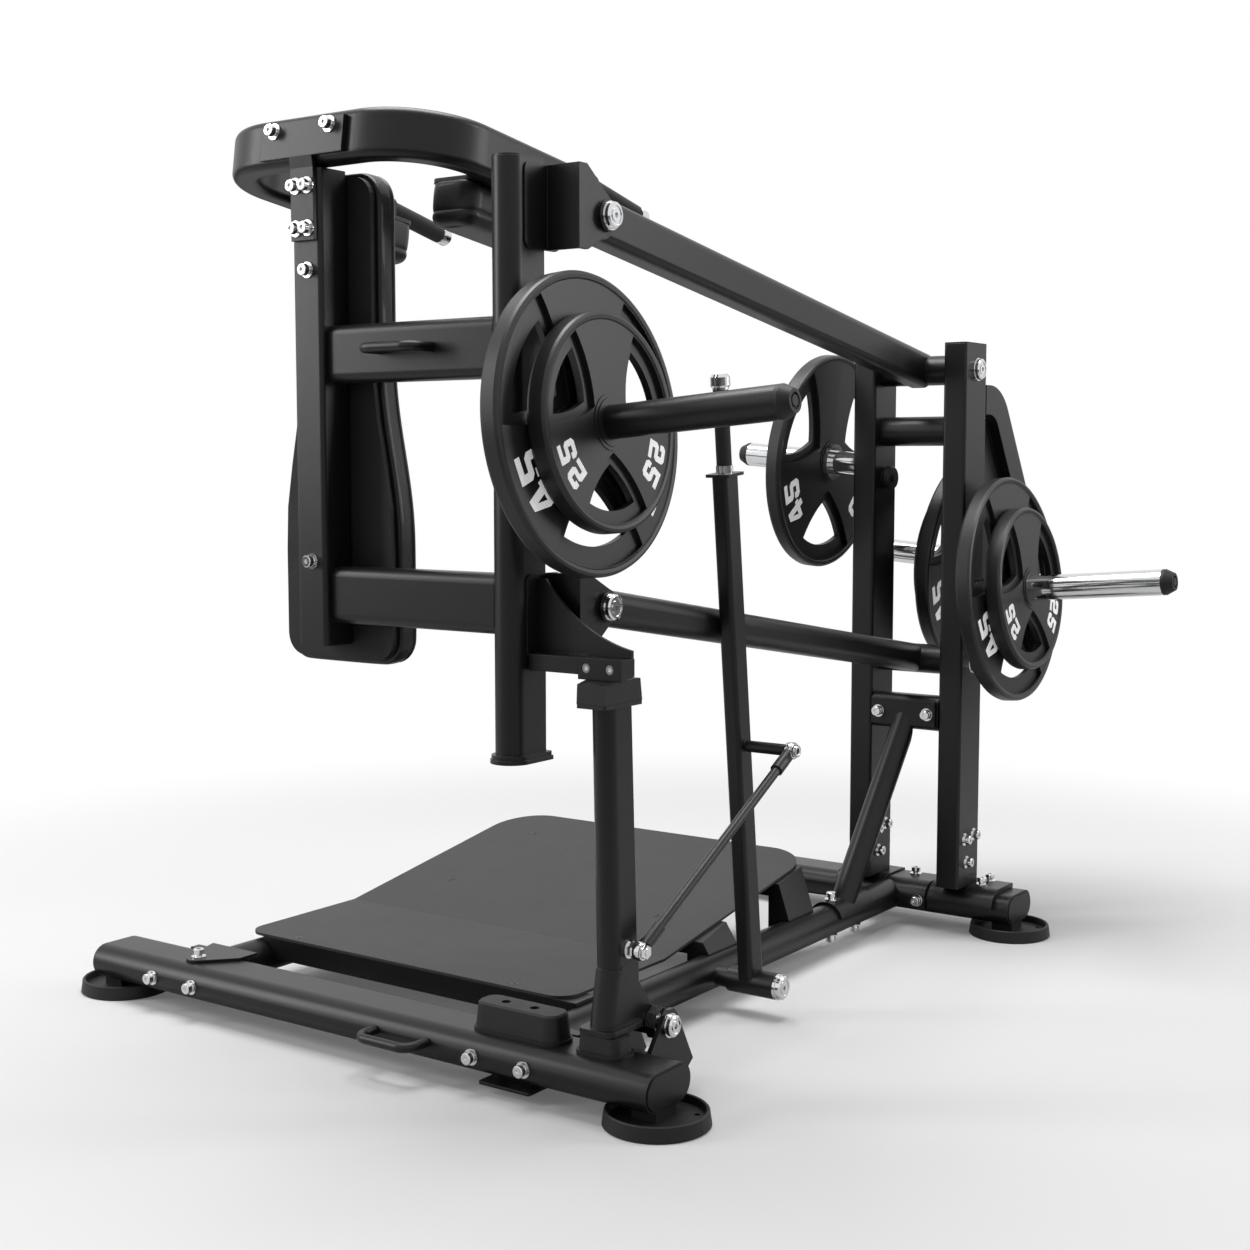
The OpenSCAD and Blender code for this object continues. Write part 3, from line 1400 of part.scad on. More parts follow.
module prop_sides() {
  r = prop_w / 2;
  low = prop_pad_top + 6;
  intersection() {
    union() {
      leaning_bar(prop_knee_front + r, prop_knee_z - 20, prop_top_front + r - 0.6, prop_cap_z + 24, prop_w);
      along_x(prop_x - r, prop_w) polygon([
        [prop_knee_front + r, prop_knee_z], [prop_top_front + r, prop_cap_z + 4],
        [prop_top_front + prop_d, prop_cap_z + 4], [prop_knee_front + prop_d + 4, prop_knee_z]
      ]);
    }
    translate([prop_x - 100, -200, low]) cube([200, 400, prop_cap_z + 4 - low]);
  }
  intersection() {
    union() {
      leaning_bar(prop_knee_front + r - 2, prop_knee_z, prop_foot_y - 44 + r + 2, low - 10, prop_w + 2);
      along_x(prop_x - r - 1, prop_w + 2) polygon([
        [prop_foot_y - 44 + r, low], [prop_foot_y + 43, low], [prop_knee_front + prop_d + 6, prop_knee_z + 6],
        [prop_knee_front + r, prop_knee_z + 6]
      ]);
    }
    translate([prop_x - 100, -200, low]) cube([200, 400, prop_knee_z + 6 - low]);
  }
}

// The cap's top follows the block's arc where it bears, and falls away in front of it
module prop_cap() color(rubber) place() difference() {
  intersection() {
    union() {
      translate([prop_x, (prop_cap_y0 + prop_cap_y1) / 2, prop_cap_z]) linear_extrude(6)
        round_rect(prop_cap_w, prop_cap_y1 - prop_cap_y0, 5);
      along_x(prop_x - prop_cap_w / 2 + 1, prop_cap_w - 2) polygon([
        [prop_cap_y0 + 1, prop_cap_z + 6], [prop_cap_y1 - 1, prop_cap_z + 6],
        [prop_cap_y1 - 6, prop_top], [rest_block_y1 + 0.1, prop_top], [rest_block_y1 - 1, prop_top + 8],
        [rest_block_y0, prop_top + 8], [prop_cap_y0 + 3, prop_top]
      ]);
    }
    rod_x(prop_x - 60, 120, prop_pivot_y, prop_pivot_z, 2 * (rest_arc_r - rest_gap));
  }
  prop_sides();
}

// The stud stands on the prop's near side, with a nut on each side of the rod's eye
module prop_stud() color(chrome) place() {
  rod_x(prop_x + prop_w / 2 - 14, rod_x - prop_x - prop_w / 2 + 14 + rod_eye_w / 2 + 8, prop_ball[1],
    prop_ball[2], stud_d);
  translate([prop_x + prop_w / 2, prop_ball[1], prop_ball[2]]) facing("near") {
    cylinder(d = 28, h = 3);
    translate([0, 0, 3]) cylinder(d = 24, h = rod_x - prop_x - prop_w / 2 - rod_eye_w / 2 - 3.6, $fn = 6);
  }
  translate([rod_x + rod_eye_w / 2 + 0.6, prop_ball[1], prop_ball[2]]) facing("near")
    cylinder(d = 22, h = 6, $fn = 6);
}

module at_lever() {
  translate([lever_x, lever_pivot_y, lever_pivot_z]) rotate([lever_lean, 0, 0]) children();
}

lever_len = (lever_top - lever_pivot_z) / cos(lever_lean);

module release_lever() color(black_paint) place() {
  difference() {
    union() {
      rod_x(lever_hub_x0, lever_hub_x1 - lever_hub_x0, lever_pivot_y, lever_pivot_z, lever_hub_d);
      at_lever() linear_extrude(lever_len) difference() {
        round_rect(lever_w, lever_d, 8);
        round_rect(lever_w - 6, lever_d - 6, 5);
      }
      at_lever() translate([0, 0, lever_len]) linear_extrude(5) round_rect(lever_w + 16, lever_d + 12, 6);
      rod_x(lever_x, rod_x - lever_x + rod_eye_w / 2 + 6, lever_ball[1], lever_ball[2], stud_d);
      rod_x(lever_x, rod_x - lever_x - rod_eye_w / 2 - 0.6, lever_ball[1], lever_ball[2], 20);
      rod_x(rod_x + rod_eye_w / 2 + 0.6, 6, lever_ball[1], lever_ball[2], 20);
    }
    rod_x(lever_hub_x0 - 10, 200, lever_pivot_y, lever_pivot_z, lever_pin_d + 2 * running);
  }
}

module lever_handle() color(chrome) place() at_lever() translate([0, 0, lever_len + 5]) {
  cylinder(d = lever_grip_d + 3, h = lever_collar_h);
  translate([0, 0, lever_collar_h]) cylinder(d = lever_grip_d - 8, h = lever_grip_len);
  translate([0, 0, lever_collar_h + lever_grip_len]) end_knob();
}

lever_collar_h = 13;

// A turned knob: a narrow neck, a round body and a bevelled top
module end_knob() {
  cylinder(d = knob_d - 6, h = 4);
  translate([0, 0, 4]) cylinder(d1 = knob_d - 4, d2 = knob_d, h = 3);
  translate([0, 0, 7]) cylinder(d = knob_d, h = knob_len - 12);
  translate([0, 0, knob_len - 5]) cylinder(d1 = knob_d, d2 = knob_d - 8, h = 5);
}

module lever_grip() color(rubber) place() at_lever()
  translate([0, 0, lever_len + 5 + lever_collar_h + seat_gap]) difference() {
    cylinder(d = lever_grip_d, h = lever_grip_len - 2 * seat_gap);
    translate([0, 0, -1]) cylinder(d = lever_grip_d - 8 + 2 * seat_gap, h = lever_grip_len + 2);
  }

module release_rod() color(black_paint) place()
  translate(prop_ball) rotate([rod_angle, 0, 0]) difference() {
    union() {
      rod_y(10, rod_span - 20, 0, 0, rod_d);
      rod_y(10, 46, 0, 0, 22);
      rod_y(rod_span - 56, 46, 0, 0, 22);
      rod_x(-rod_eye_w / 2, rod_eye_w, 0, 0, rod_eye_d);
      rod_x(-rod_eye_w / 2, rod_eye_w, rod_span, 0, rod_eye_d);
    }
    rod_x(-60, 120, 0, 0, stud_d + 2 * open_pivot_play);
    rod_x(-60, 120, rod_span, 0, stud_d + 2 * running);
    for (y = [0, rod_span])
      for (s = [-1, 1])
        translate([s > 0 ? rod_eye_w / 2 : -60, y - 30, -30]) cube([60 - rod_eye_w / 2, 42, 60]);
  }

// ---- weight plates -------------------------------------------------------------------

// Three hand holes lie in shallow pockets, between three pads that run out to the rim
module weight_plate(d, t, hub) {
  outer = d / 2;
  inner = outer - 13;
  face = 3;
  pocket = 11;
  half = [
    [0, 0], [hub / 2 - 6, 0], [hub / 2 - 6, 1.5], [hub / 2, 1.5], [hub / 2, face], [inner, face],
    [inner + 2, 0.8], [outer - 6, 0], [outer - 2, 1.5], [outer, 6]
  ];
  difference() {
    rotate_extrude() polygon(concat(half, [for (i = [len(half) - 1:-1:0]) [half[i][0], t - half[i][1]]]));
    translate([0, 0, -1]) cylinder(d = horn_d + 2 * plate_play, h = t + 2);
    for (k = [0:2])
      rotate([0, 0, k * 120 - 90]) {
        for (z = [pocket - 20, t - pocket])
          translate([0, 0, z]) linear_extrude(20) tri_hole(outer * 0.27, inner - 1, 31, outer * 0.05);
        translate([0, 0, -1]) linear_extrude(t + 2) tri_hole(outer * 0.37, outer * 0.795, 25.5, outer * 0.03);
      }
  }
}

// A three sided outline: a point at a, an arc about the middle and two bowed sides
module tri_hole(a, r, half_angle, bow) {
  w = r * sin(half_angle);
  b = r * cos(half_angle);
  chord = norm([w, b - a]);
  rs = chord * chord / 8 / bow + bow / 2;
  c = [-w / 2, (a + b) / 2] + [b - a, w] / chord * (rs - bow);
  intersection() {
    circle(r);
    translate(c) circle(rs);
    translate([-c[0], c[1]]) circle(rs);
  }
}

module large_plate() weight_plate(large_d, large_t, 92);
module small_plate() weight_plate(small_d, small_t, 84);

module load_plate_large() color(rubber) place()
  at_horn(post_near_x, load_horn_y, post_horn_z, 1) translate([0, 0, load_stop + 0.3]) large_plate();

module load_plate_small() color(rubber) place()
  at_horn(post_near_x, load_horn_y, post_horn_z, 1)
    translate([0, 0, load_stop + large_t + 0.6]) small_plate();

module near_plate_large() color(rubber) place()
  at_horn(near_upright_face, near_horn_y, near_horn_z, 1) translate([0, 0, near_stop + 0.3]) large_plate();

module near_plate_small() color(rubber) place()
  at_horn(near_upright_face, near_horn_y, near_horn_z, 1)
    translate([0, 0, near_stop + large_t + 0.6]) small_plate();

module far_plate_large() color(rubber) place()
  at_horn(far_horn_x, upright_y, far_horn_z, -1)
    translate([0, 0, far_stop + 0.3 + large_t]) rotate([0, 180, 0]) large_plate();

module rear_plate_large() color(rubber) place()
  at_horn(rear_horn_x, rear_plate_y, rear_horn_z, -1)
    translate([0, 0, rear_stop + 0.3 + large_t]) rotate([0, 180, 0]) large_plate();

module rear_plate_small() color(rubber) place()
  at_horn(rear_horn_x, rear_plate_y, rear_horn_z, -1)
    translate([0, 0, rear_stop + 0.6 + large_t + small_t]) rotate([0, 180, 0]) small_plate();

front_beam();
rear_beam();
tube_caps();
feet();
side_tubes();
foot_plate();
foot_plate_frame();
foot_plate_screws();
near_upright();
far_upright();
upright_saddles();
upright_cross_tube();
brace_cross_member();
brace_tube();
frame_bolts();
carriage_bumper();
front_grab_handle();
bumper_backing_plate();
prop_pad();
prop_bracket();
pivot_shafts();
storage_horns();
horn_caps();
rear_storage_arm();
stop_knob();
return_spring();
upper_link();
lower_link();
carriage_post();
link_clevises();
load_horn();
load_horn_cap();
rest_bracket();
rest_block();
cross_tubes();
carriage_grab_handle();
back_spine();
shoulder_frame();
shoulder_frame_plate();
carriage_bolts();
handle_tubes();
handle_grips();
pad_brackets();
shoulder_pads();
back_board();
back_cushion();
prop_post();
prop_cap();
prop_stud();
release_lever();
lever_handle();
lever_grip();
release_rod();
load_plate_large();
load_plate_small();
near_plate_large();
near_plate_small();
far_plate_large();
rear_plate_large();
rear_plate_small();
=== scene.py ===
"""A standing leg press, dressed for a studio picture.

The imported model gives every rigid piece. This script adds the upholstery and the
numbers on the weight plates, gives each piece its finish, and sets up the studio.
"""
import json
import logging
import math
from dataclasses import dataclass
from enum import Enum
from typing import Any, Iterable, Sequence

import bmesh
import bpy
from mathutils import Euler, Matrix, Vector
from mathutils.geometry import tessellate_polygon


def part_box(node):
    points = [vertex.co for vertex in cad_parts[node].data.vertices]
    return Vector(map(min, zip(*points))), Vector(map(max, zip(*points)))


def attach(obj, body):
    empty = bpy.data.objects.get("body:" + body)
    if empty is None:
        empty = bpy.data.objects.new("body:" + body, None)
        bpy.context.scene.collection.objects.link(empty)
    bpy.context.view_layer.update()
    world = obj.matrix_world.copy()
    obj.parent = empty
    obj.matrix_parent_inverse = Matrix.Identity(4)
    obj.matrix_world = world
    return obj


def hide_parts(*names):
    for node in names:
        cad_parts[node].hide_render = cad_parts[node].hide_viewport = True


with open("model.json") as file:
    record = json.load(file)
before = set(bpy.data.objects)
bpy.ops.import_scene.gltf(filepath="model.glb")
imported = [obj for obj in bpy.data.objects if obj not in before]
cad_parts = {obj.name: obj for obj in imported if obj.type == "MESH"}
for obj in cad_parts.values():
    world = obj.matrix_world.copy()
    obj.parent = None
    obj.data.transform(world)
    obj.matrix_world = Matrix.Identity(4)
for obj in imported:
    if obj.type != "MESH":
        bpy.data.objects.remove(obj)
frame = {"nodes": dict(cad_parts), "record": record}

LOG = logging.getLogger("leg_press")
MM = 0.001

# The machine's own drawing has its zero at the middle of the front beam. The packed
# model has it at the middle of its box, so a drawn point moves by this much.
DRAWN_X = 0.12748528
DRAWN_Y = 0.779

Point = tuple[float, float, float]
Colour = tuple[float, float, float]


def drawn(x: float, y: float, z: float) -> Vector:
    """Turn a point of the machine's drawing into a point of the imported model.

    Args:
        x: Place across, in millimetres from the middle of the front beam.
        y: Place front to back, in millimetres from the front beam.
        z: Height above the floor, in millimetres.

    Returns:
        The same point in metres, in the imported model's frame.
    """
    return Vector((x * MM - DRAWN_X, y * MM - DRAWN_Y, z * MM))


class Body(Enum):
    """The moving bodies that a new piece can ride on."""

    CARRIAGE = "carriage"
    LEVER = "lever"
    ROD = "rod"
    LOAD_LARGE = "load_large"
    LOAD_SMALL = "load_small"
    NEAR_LARGE = "near_large"
    NEAR_SMALL = "near_small"
    FAR_LARGE = "far_large"
    REAR_LARGE = "rear_large"
    REAR_SMALL = "rear_small"


class Signal:
    """A node's output that can be used in an expression."""

    def __init__(self, graph: "Graph", socket: Any) -> None:
        """Keep the socket and the graph that it belongs to."""
        self.graph = graph
        self.socket = socket

    def _maths(self, operation: str, first: Any, second: Any) -> "Signal":
        """Add a Math node.

        Args:
            operation: The Math node's operation.
            first: A signal or a number.
            second: A signal or a number.

        Returns:
            The node's result.
        """
        return self.graph.node("ShaderNodeMath", {"operation": operation}, {0: first, 1: second})

    def __add__(self, other: Any) -> "Signal":
        """Sum of two values."""
        return self._maths("ADD", self, other)

    def __radd__(self, other: Any) -> "Signal":
        """Sum with the number on the left."""
        return self._maths("ADD", other, self)

    def __sub__(self, other: Any) -> "Signal":
        """Difference of two values."""
        return self._maths("SUBTRACT", self, other)

    def __rsub__(self, other: Any) -> "Signal":
        """Difference with the number on the left."""
        return self._maths("SUBTRACT", other, self)

    def __mul__(self, other: Any) -> "Signal":
        """Product of two values."""
        return self._maths("MULTIPLY", self, other)

    def __rmul__(self, other: Any) -> "Signal":
        """Product with the number on the left."""
        return self._maths("MULTIPLY", other, self)


class Graph:
    """The node tree of one material, with its shader and output in place."""

    def __init__(self, name: str) -> None:
        """Make an empty material of this name with one Principled shader."""
        self.material = bpy.data.materials.new(name)
        self.material.use_nodes = True
        self.tree = self.material.node_tree
        self.tree.nodes.clear()
        output = self.tree.nodes.new("ShaderNodeOutputMaterial")
        self.shader = self.tree.nodes.new("ShaderNodeBsdfPrincipled")
        self.tree.links.new(self.shader.outputs[0], output.inputs["Surface"])
        self.place = self.node("ShaderNodeTexCoord", output="Object")

    def node(self, kind: str, settings: dict[str, Any] | None = None,
             inputs: dict[Any, Any] | None = None, output: Any = 0) -> Signal:
        """Add a node.

        Args:
            kind: The node's type.
            settings: Values of the node's own properties, set first. A ramp takes
                "stops", a list of position and grey value.
            inputs: Values or signals of its input sockets, by name or number.
            output: Name or number of the output that is used.

        Returns:
            That output as a signal.
        """
        made = self.tree.nodes.new(kind)
        for key, value in (settings or {}).items():
            if key == "stops":
                self._set_stops(made.color_ramp, value)
            else:
                setattr(made, key, value)
        for key, value in (inputs or {}).items():
            self.feed(made.inputs[key], value)
        return Signal(self, made.outputs[output])

    def _set_stops(self, ramp: Any, stops: Sequence[tuple[float, float]]) -> None:
        """Give a colour ramp these grey stops."""
        for element, (position, grey) in zip(ramp.elements, stops):
            element.position = position
            element.color = (grey, grey, grey, 1.0)

    def feed(self, socket: Any, value: Any) -> None:
        """Link a signal to a socket, or set the socket to a plain value."""
        if isinstance(value, Signal):
            self.tree.links.new(value.socket, socket)
        else:
            socket.default_value = value

    def set(self, **values: Any) -> None:
        """Feed the shader's sockets; an underscore in a name stands for a space."""
        for key, value in values.items():
            self.feed(self.shader.inputs[key.replace("_", " ")], value)

    def noise(self, size: float, detail: float = 2.0, roughness: float = 0.5) -> Signal:
        """Soft noise whose features have this size in metres, from 0 to 1."""
        inputs = {
            "Vector": self.place, "Scale": 1.0 / size, "Detail": detail, "Roughness": roughness,
        }
        return self.node("ShaderNodeTexNoise", inputs=inputs)

    def cells(self, size: float) -> Signal:
        """Distance to the edge of small cells of this size in metres."""
        inputs = {"Vector": self.place, "Scale": 1.0 / size}
        return self.node("ShaderNodeTexVoronoi", {"feature": "DISTANCE_TO_EDGE"}, inputs)

    def ramp(self, value: Signal, low: float, high: float) -> Signal:
        """Stretch the part of a value from low to high over 0 to 1."""
        stops = [(low, 0.0), (high, 1.0)]
        return self.node("ShaderNodeValToRGB", {"stops": stops}, {"Fac": value}, "Color")

    def blend(self, mask: Signal, first: Colour, second: Colour) -> Signal:
        """Mix two colours by a mask."""
        settings = {"data_type": "RGBA"}
        inputs = {0: mask, 6: (*first, 1.0), 7: (*second, 1.0)}
        return self.node("ShaderNodeMix", settings, inputs, 2)

    def bump(self, height: Signal, depth: float, strength: float, edge: float = 0.0) -> Signal:
        """Bump from a height map.

        Args:
            height: The map, from 0 to 1.
            depth: What 1 stands for, in metres.
            strength: Share of the effect.
            edge: Radius of softly rounded edges in metres, or 0 for none.

        Returns:
            The bumped normal.
        """
        inputs = {"Height": height, "Distance": depth, "Strength": strength}
        if edge > 0.0:
            inputs["Normal"] = self.node("ShaderNodeBevel", {"samples": 4}, {"Radius": edge})
        return self.node("ShaderNodeBump", inputs=inputs, output="Normal")


def tinted(colour: Colour, factor: float) -> Colour:
    """Make a colour lighter or darker.

    Args:
        colour: The colour to start from.
        factor: What each of its three parts is multiplied by.

    Returns:
        The new colour.
    """
    return (colour[0] * factor, colour[1] * factor, colour[2] * factor)


@dataclass(frozen=True)
class Finish:
    """A finish that is put on one or more pieces."""

    name: str
    colour: Colour
    roughness: float

    def material(self) -> bpy.types.Material:
        """Make the material, or find it if it is made already."""
        known = bpy.data.materials.get(self.name)
        if known:
            return known
        graph = Graph(self.name)
        self.dress(graph)
        return graph.material

    def dress(self, graph: Graph) -> None:
        """Fill in the graph of this finish."""
        raise NotImplementedError


@dataclass(frozen=True)
class PowderCoat(Finish):
    """Fine textured coat on steel or iron, with a slow drift of tone."""

    drift_size: float = 0.22
    grain: float = 0.0011
    grain_depth: float = 0.00025
    specular: float = 0.3
    edge: float = 0.0016

    def dress(self, graph: Graph) -> None:
        """Fine grain, a slow drift of tone and slightly uneven gloss."""
        speck = graph.noise(self.grain, 3.0, 0.6)
        drift = graph.noise(self.drift_size, 3.0)
        tone = graph.ramp(drift * 0.6 + speck * 0.4, 0.3, 0.7)
        graph.set(
            Base_Color=graph.blend(tone, tinted(self.colour, 0.86), tinted(self.colour, 1.18)),
            Roughness=self.roughness - 0.05 + speck * 0.06 + drift * 0.06,
            Normal=graph.bump(speck, self.grain_depth, 0.35, self.edge),
            Specular_IOR_Level=self.specular,
        )


@dataclass(frozen=True)
class GripCoat(Finish):
    """Coarser anti-slip coat of the foot plate, scuffed in soft patches."""

    sand_size: float = 0.0016
    crystal_size: float = 0.0022
    scuff_size: float = 0.12
    grain_depth: float = 0.0005
    specular: float = 0.35

    def dress(self, graph: Graph) -> None:
        """Sandy grain with pale specks and soft scuffs."""
        sand = graph.noise(self.sand_size, 4.0, 0.7)
        crystal = graph.cells(self.crystal_size)
        scuff = graph.ramp(graph.noise(self.scuff_size, 5.0, 0.6), 0.42, 0.72)
        tone = graph.ramp(sand, 0.36, 0.66)
        graph.set(
            Base_Color=graph.blend(
                tone * 0.8 + scuff * 0.2, tinted(self.colour, 0.72), tinted(self.colour, 1.3),
            ),
            Roughness=self.roughness + scuff * 0.06 - tone * 0.08,
            Normal=graph.bump(sand + crystal * 1.2, self.grain_depth, 0.5),
            Specular_IOR_Level=self.specular,
        )


@dataclass(frozen=True)
class Chrome(Finish):
    """Bright chrome with faint smears."""

    smear_size: float = 0.02
    polish_size: float = 0.0012
    polish_depth: float = 0.00002

    def dress(self, graph: Graph) -> None:
        """Mirror metal whose gloss breaks up a little."""
        smear = graph.noise(self.smear_size, 4.0, 0.6)
        polish = graph.noise(self.polish_size, 2.0)
        graph.set(
            Base_Color=graph.blend(smear, tinted(self.colour, 0.9), self.colour),
            Metallic=1.0,
            Roughness=self.roughness + smear * 0.06,
            Normal=graph.bump(polish, self.polish_depth, 0.1),
        )


@dataclass(frozen=True)
class MouldedRubber(Finish):
    """Moulded rubber or hard plastic with a fine dull skin."""

    grain: float = 0.0009
    grain_depth: float = 0.0002
    bloom_size: float = 0.05
    specular: float = 0.3

    def dress(self, graph: Graph) -> None:
        """Dull skin with a trace of grey bloom."""
        skin = graph.noise(self.grain, 2.0)
        bloom = graph.ramp(graph.noise(self.bloom_size, 4.0), 0.4, 0.75)
        graph.set(
            Base_Color=graph.blend(bloom, self.colour, tinted(self.colour, 1.45)),
            Roughness=self.roughness + bloom * 0.08,
            Normal=graph.bump(skin, self.grain_depth, 0.3),
            Specular_IOR_Level=self.specular,
        )


@dataclass(frozen=True)
class SeatVinyl(Finish):
    """Upholstery vinyl with a leather grain, painted shade in the grain's grooves and soft
    creases.
    """

    pebble_size: float = 0.0019
    crease_size: float = 0.035
    crease_depth: float = 0.0012
    specular: float = 0.3

    def dress(self, graph: Graph) -> None:
        """Pebbled grain over slow, shallow creases, with painted shade darkening the grooves
        between pebbles.
        """
        # The pebble map is low in the grooves between pebbles: it sinks the bump there and darkens
        # the colour there as painted shade.
        pebble_and_groove_shade = graph.ramp(graph.cells(self.pebble_size), 0.0, 0.22)
        crease = graph.noise(self.crease_size, 5.0, 0.55)
        graph.set(
            Base_Color=graph.blend(pebble_and_groove_shade, tinted(self.colour, 0.7), self.colour),
            Roughness=self.roughness + crease * 0.12 - pebble_and_groove_shade * 0.05,
            Coat_Weight=0.05 + crease * 0.08,
            Normal=graph.bump(pebble_and_groove_shade * 0.35 + crease, self.crease_depth, 0.32),
            Specular_IOR_Level=self.specular,
        )


@dataclass(frozen=True)
class PrintedWhite(Finish):
    """White enamel of the numbers on the plates, worn thin in places.

    It glows a little, which real paint doesn't, to stay as white as in the photo.
    """

    wear_size: float = 0.006
    wear_depth: float = 0.0001
    glow: float = 0.32
    glow_grey: float = 0.8

    def dress(self, graph: Graph) -> None:
        """White with a little grey wear."""
        wear = graph.ramp(graph.noise(self.wear_size, 5.0, 0.7), 0.55, 0.8)
        graph.set(
            Base_Color=graph.blend(wear, self.colour, tinted(self.colour, 0.72)),
            Roughness=self.roughness + wear * 0.15,
            Normal=graph.bump(wear, self.wear_depth, 0.3),
            Emission_Color=(self.glow_grey, self.glow_grey, self.glow_grey, 1.0),
            Emission_Strength=self.glow,
        )


STEEL = PowderCoat("charcoal_powder_coat", (0.0068, 0.0068, 0.0071), 0.33)
PLATE = GripCoat("foot_plate_grip_coat", (0.028, 0.028, 0.0285), 0.62)
IRON = PowderCoat(
    "plate_enamel", (0.0042, 0.0042, 0.0044), 0.33,
    grain=0.0008, grain_depth=0.00012, specular=0.24,
)
CHROME = Chrome("bright_chrome", (0.72, 0.725, 0.735), 0.07)
RUBBER = MouldedRubber("moulded_rubber", (0.007, 0.007, 0.007), 0.5)
CAP = MouldedRubber("cap_plastic", (0.008, 0.008, 0.0083), 0.38)
GRIP = MouldedRubber("grip_rubber", (0.005, 0.005, 0.005), 0.44)
VINYL = SeatVinyl("seat_vinyl", (0.003, 0.003, 0.0032), 0.32)
BOARD = MouldedRubber("board_black", (0.004, 0.004, 0.004), 0.6)
WHITE = PrintedWhite("number_white", (0.86, 0.86, 0.85), 0.42)

FINISH_OF_SLOT: dict[str, Finish] = {
    "painted_steel": STEEL,
    "foot_plate_coat": PLATE,
    "plate_enamel": IRON,
    "chrome": CHROME,
    "rubber": RUBBER,
    "plastic": CAP,
    "grip_rubber": GRIP,
    "vinyl": VINYL,
    "board": BOARD,
}


def new_piece(name: str, points: Iterable[Sequence[float]], faces: Iterable[Sequence[int]],
              finish: Finish, body: Body, smooth: bool = True) -> bpy.types.Object:
    """Make a mesh piece, give it its finish and let it ride.

    Args:
        name: The piece's name.
        points: Its corners in the model's frame, in metres.
        faces: Its faces, by corner numbers.
        finish: What it is covered with.
        body: The body that it moves with.
        smooth: Whether its faces are shaded smooth.

    Returns:
        The new object.
    """
    mesh = bpy.data.meshes.new(name)
    mesh.from_pydata([tuple(p) for p in points], [], [tuple(f) for f in faces])
    form = bmesh.new()
    form.from_mesh(mesh)
    bmesh.ops.recalc_face_normals(form, faces=form.faces)
    form.to_mesh(mesh)
    form.free()
    for polygon in mesh.polygons:
        polygon.use_smooth = smooth
    piece = bpy.data.objects.new(name, mesh)
    bpy.context.scene.collection.objects.link(piece)
    mesh.materials.append(finish.material())
    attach(piece, body.value)
    LOG.info("%s: %d faces, rides on %s", name, len(mesh.polygons), body.value)
    return piece


@dataclass
class PackedPieces:
    """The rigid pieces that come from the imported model."""

    finishes: dict[str, Finish]

    def dress(self) -> None:
        """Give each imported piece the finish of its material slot."""
        slots = {part["node"]: part["material_slot"] for part in frame["record"]["subparts"]}
        for name, piece in frame["nodes"].items():
            finish = self.finishes[slots[name]]
            piece.data.materials.clear()
            piece.data.materials.append(finish.material())
            LOG.info("%s: %s", name, finish.name)


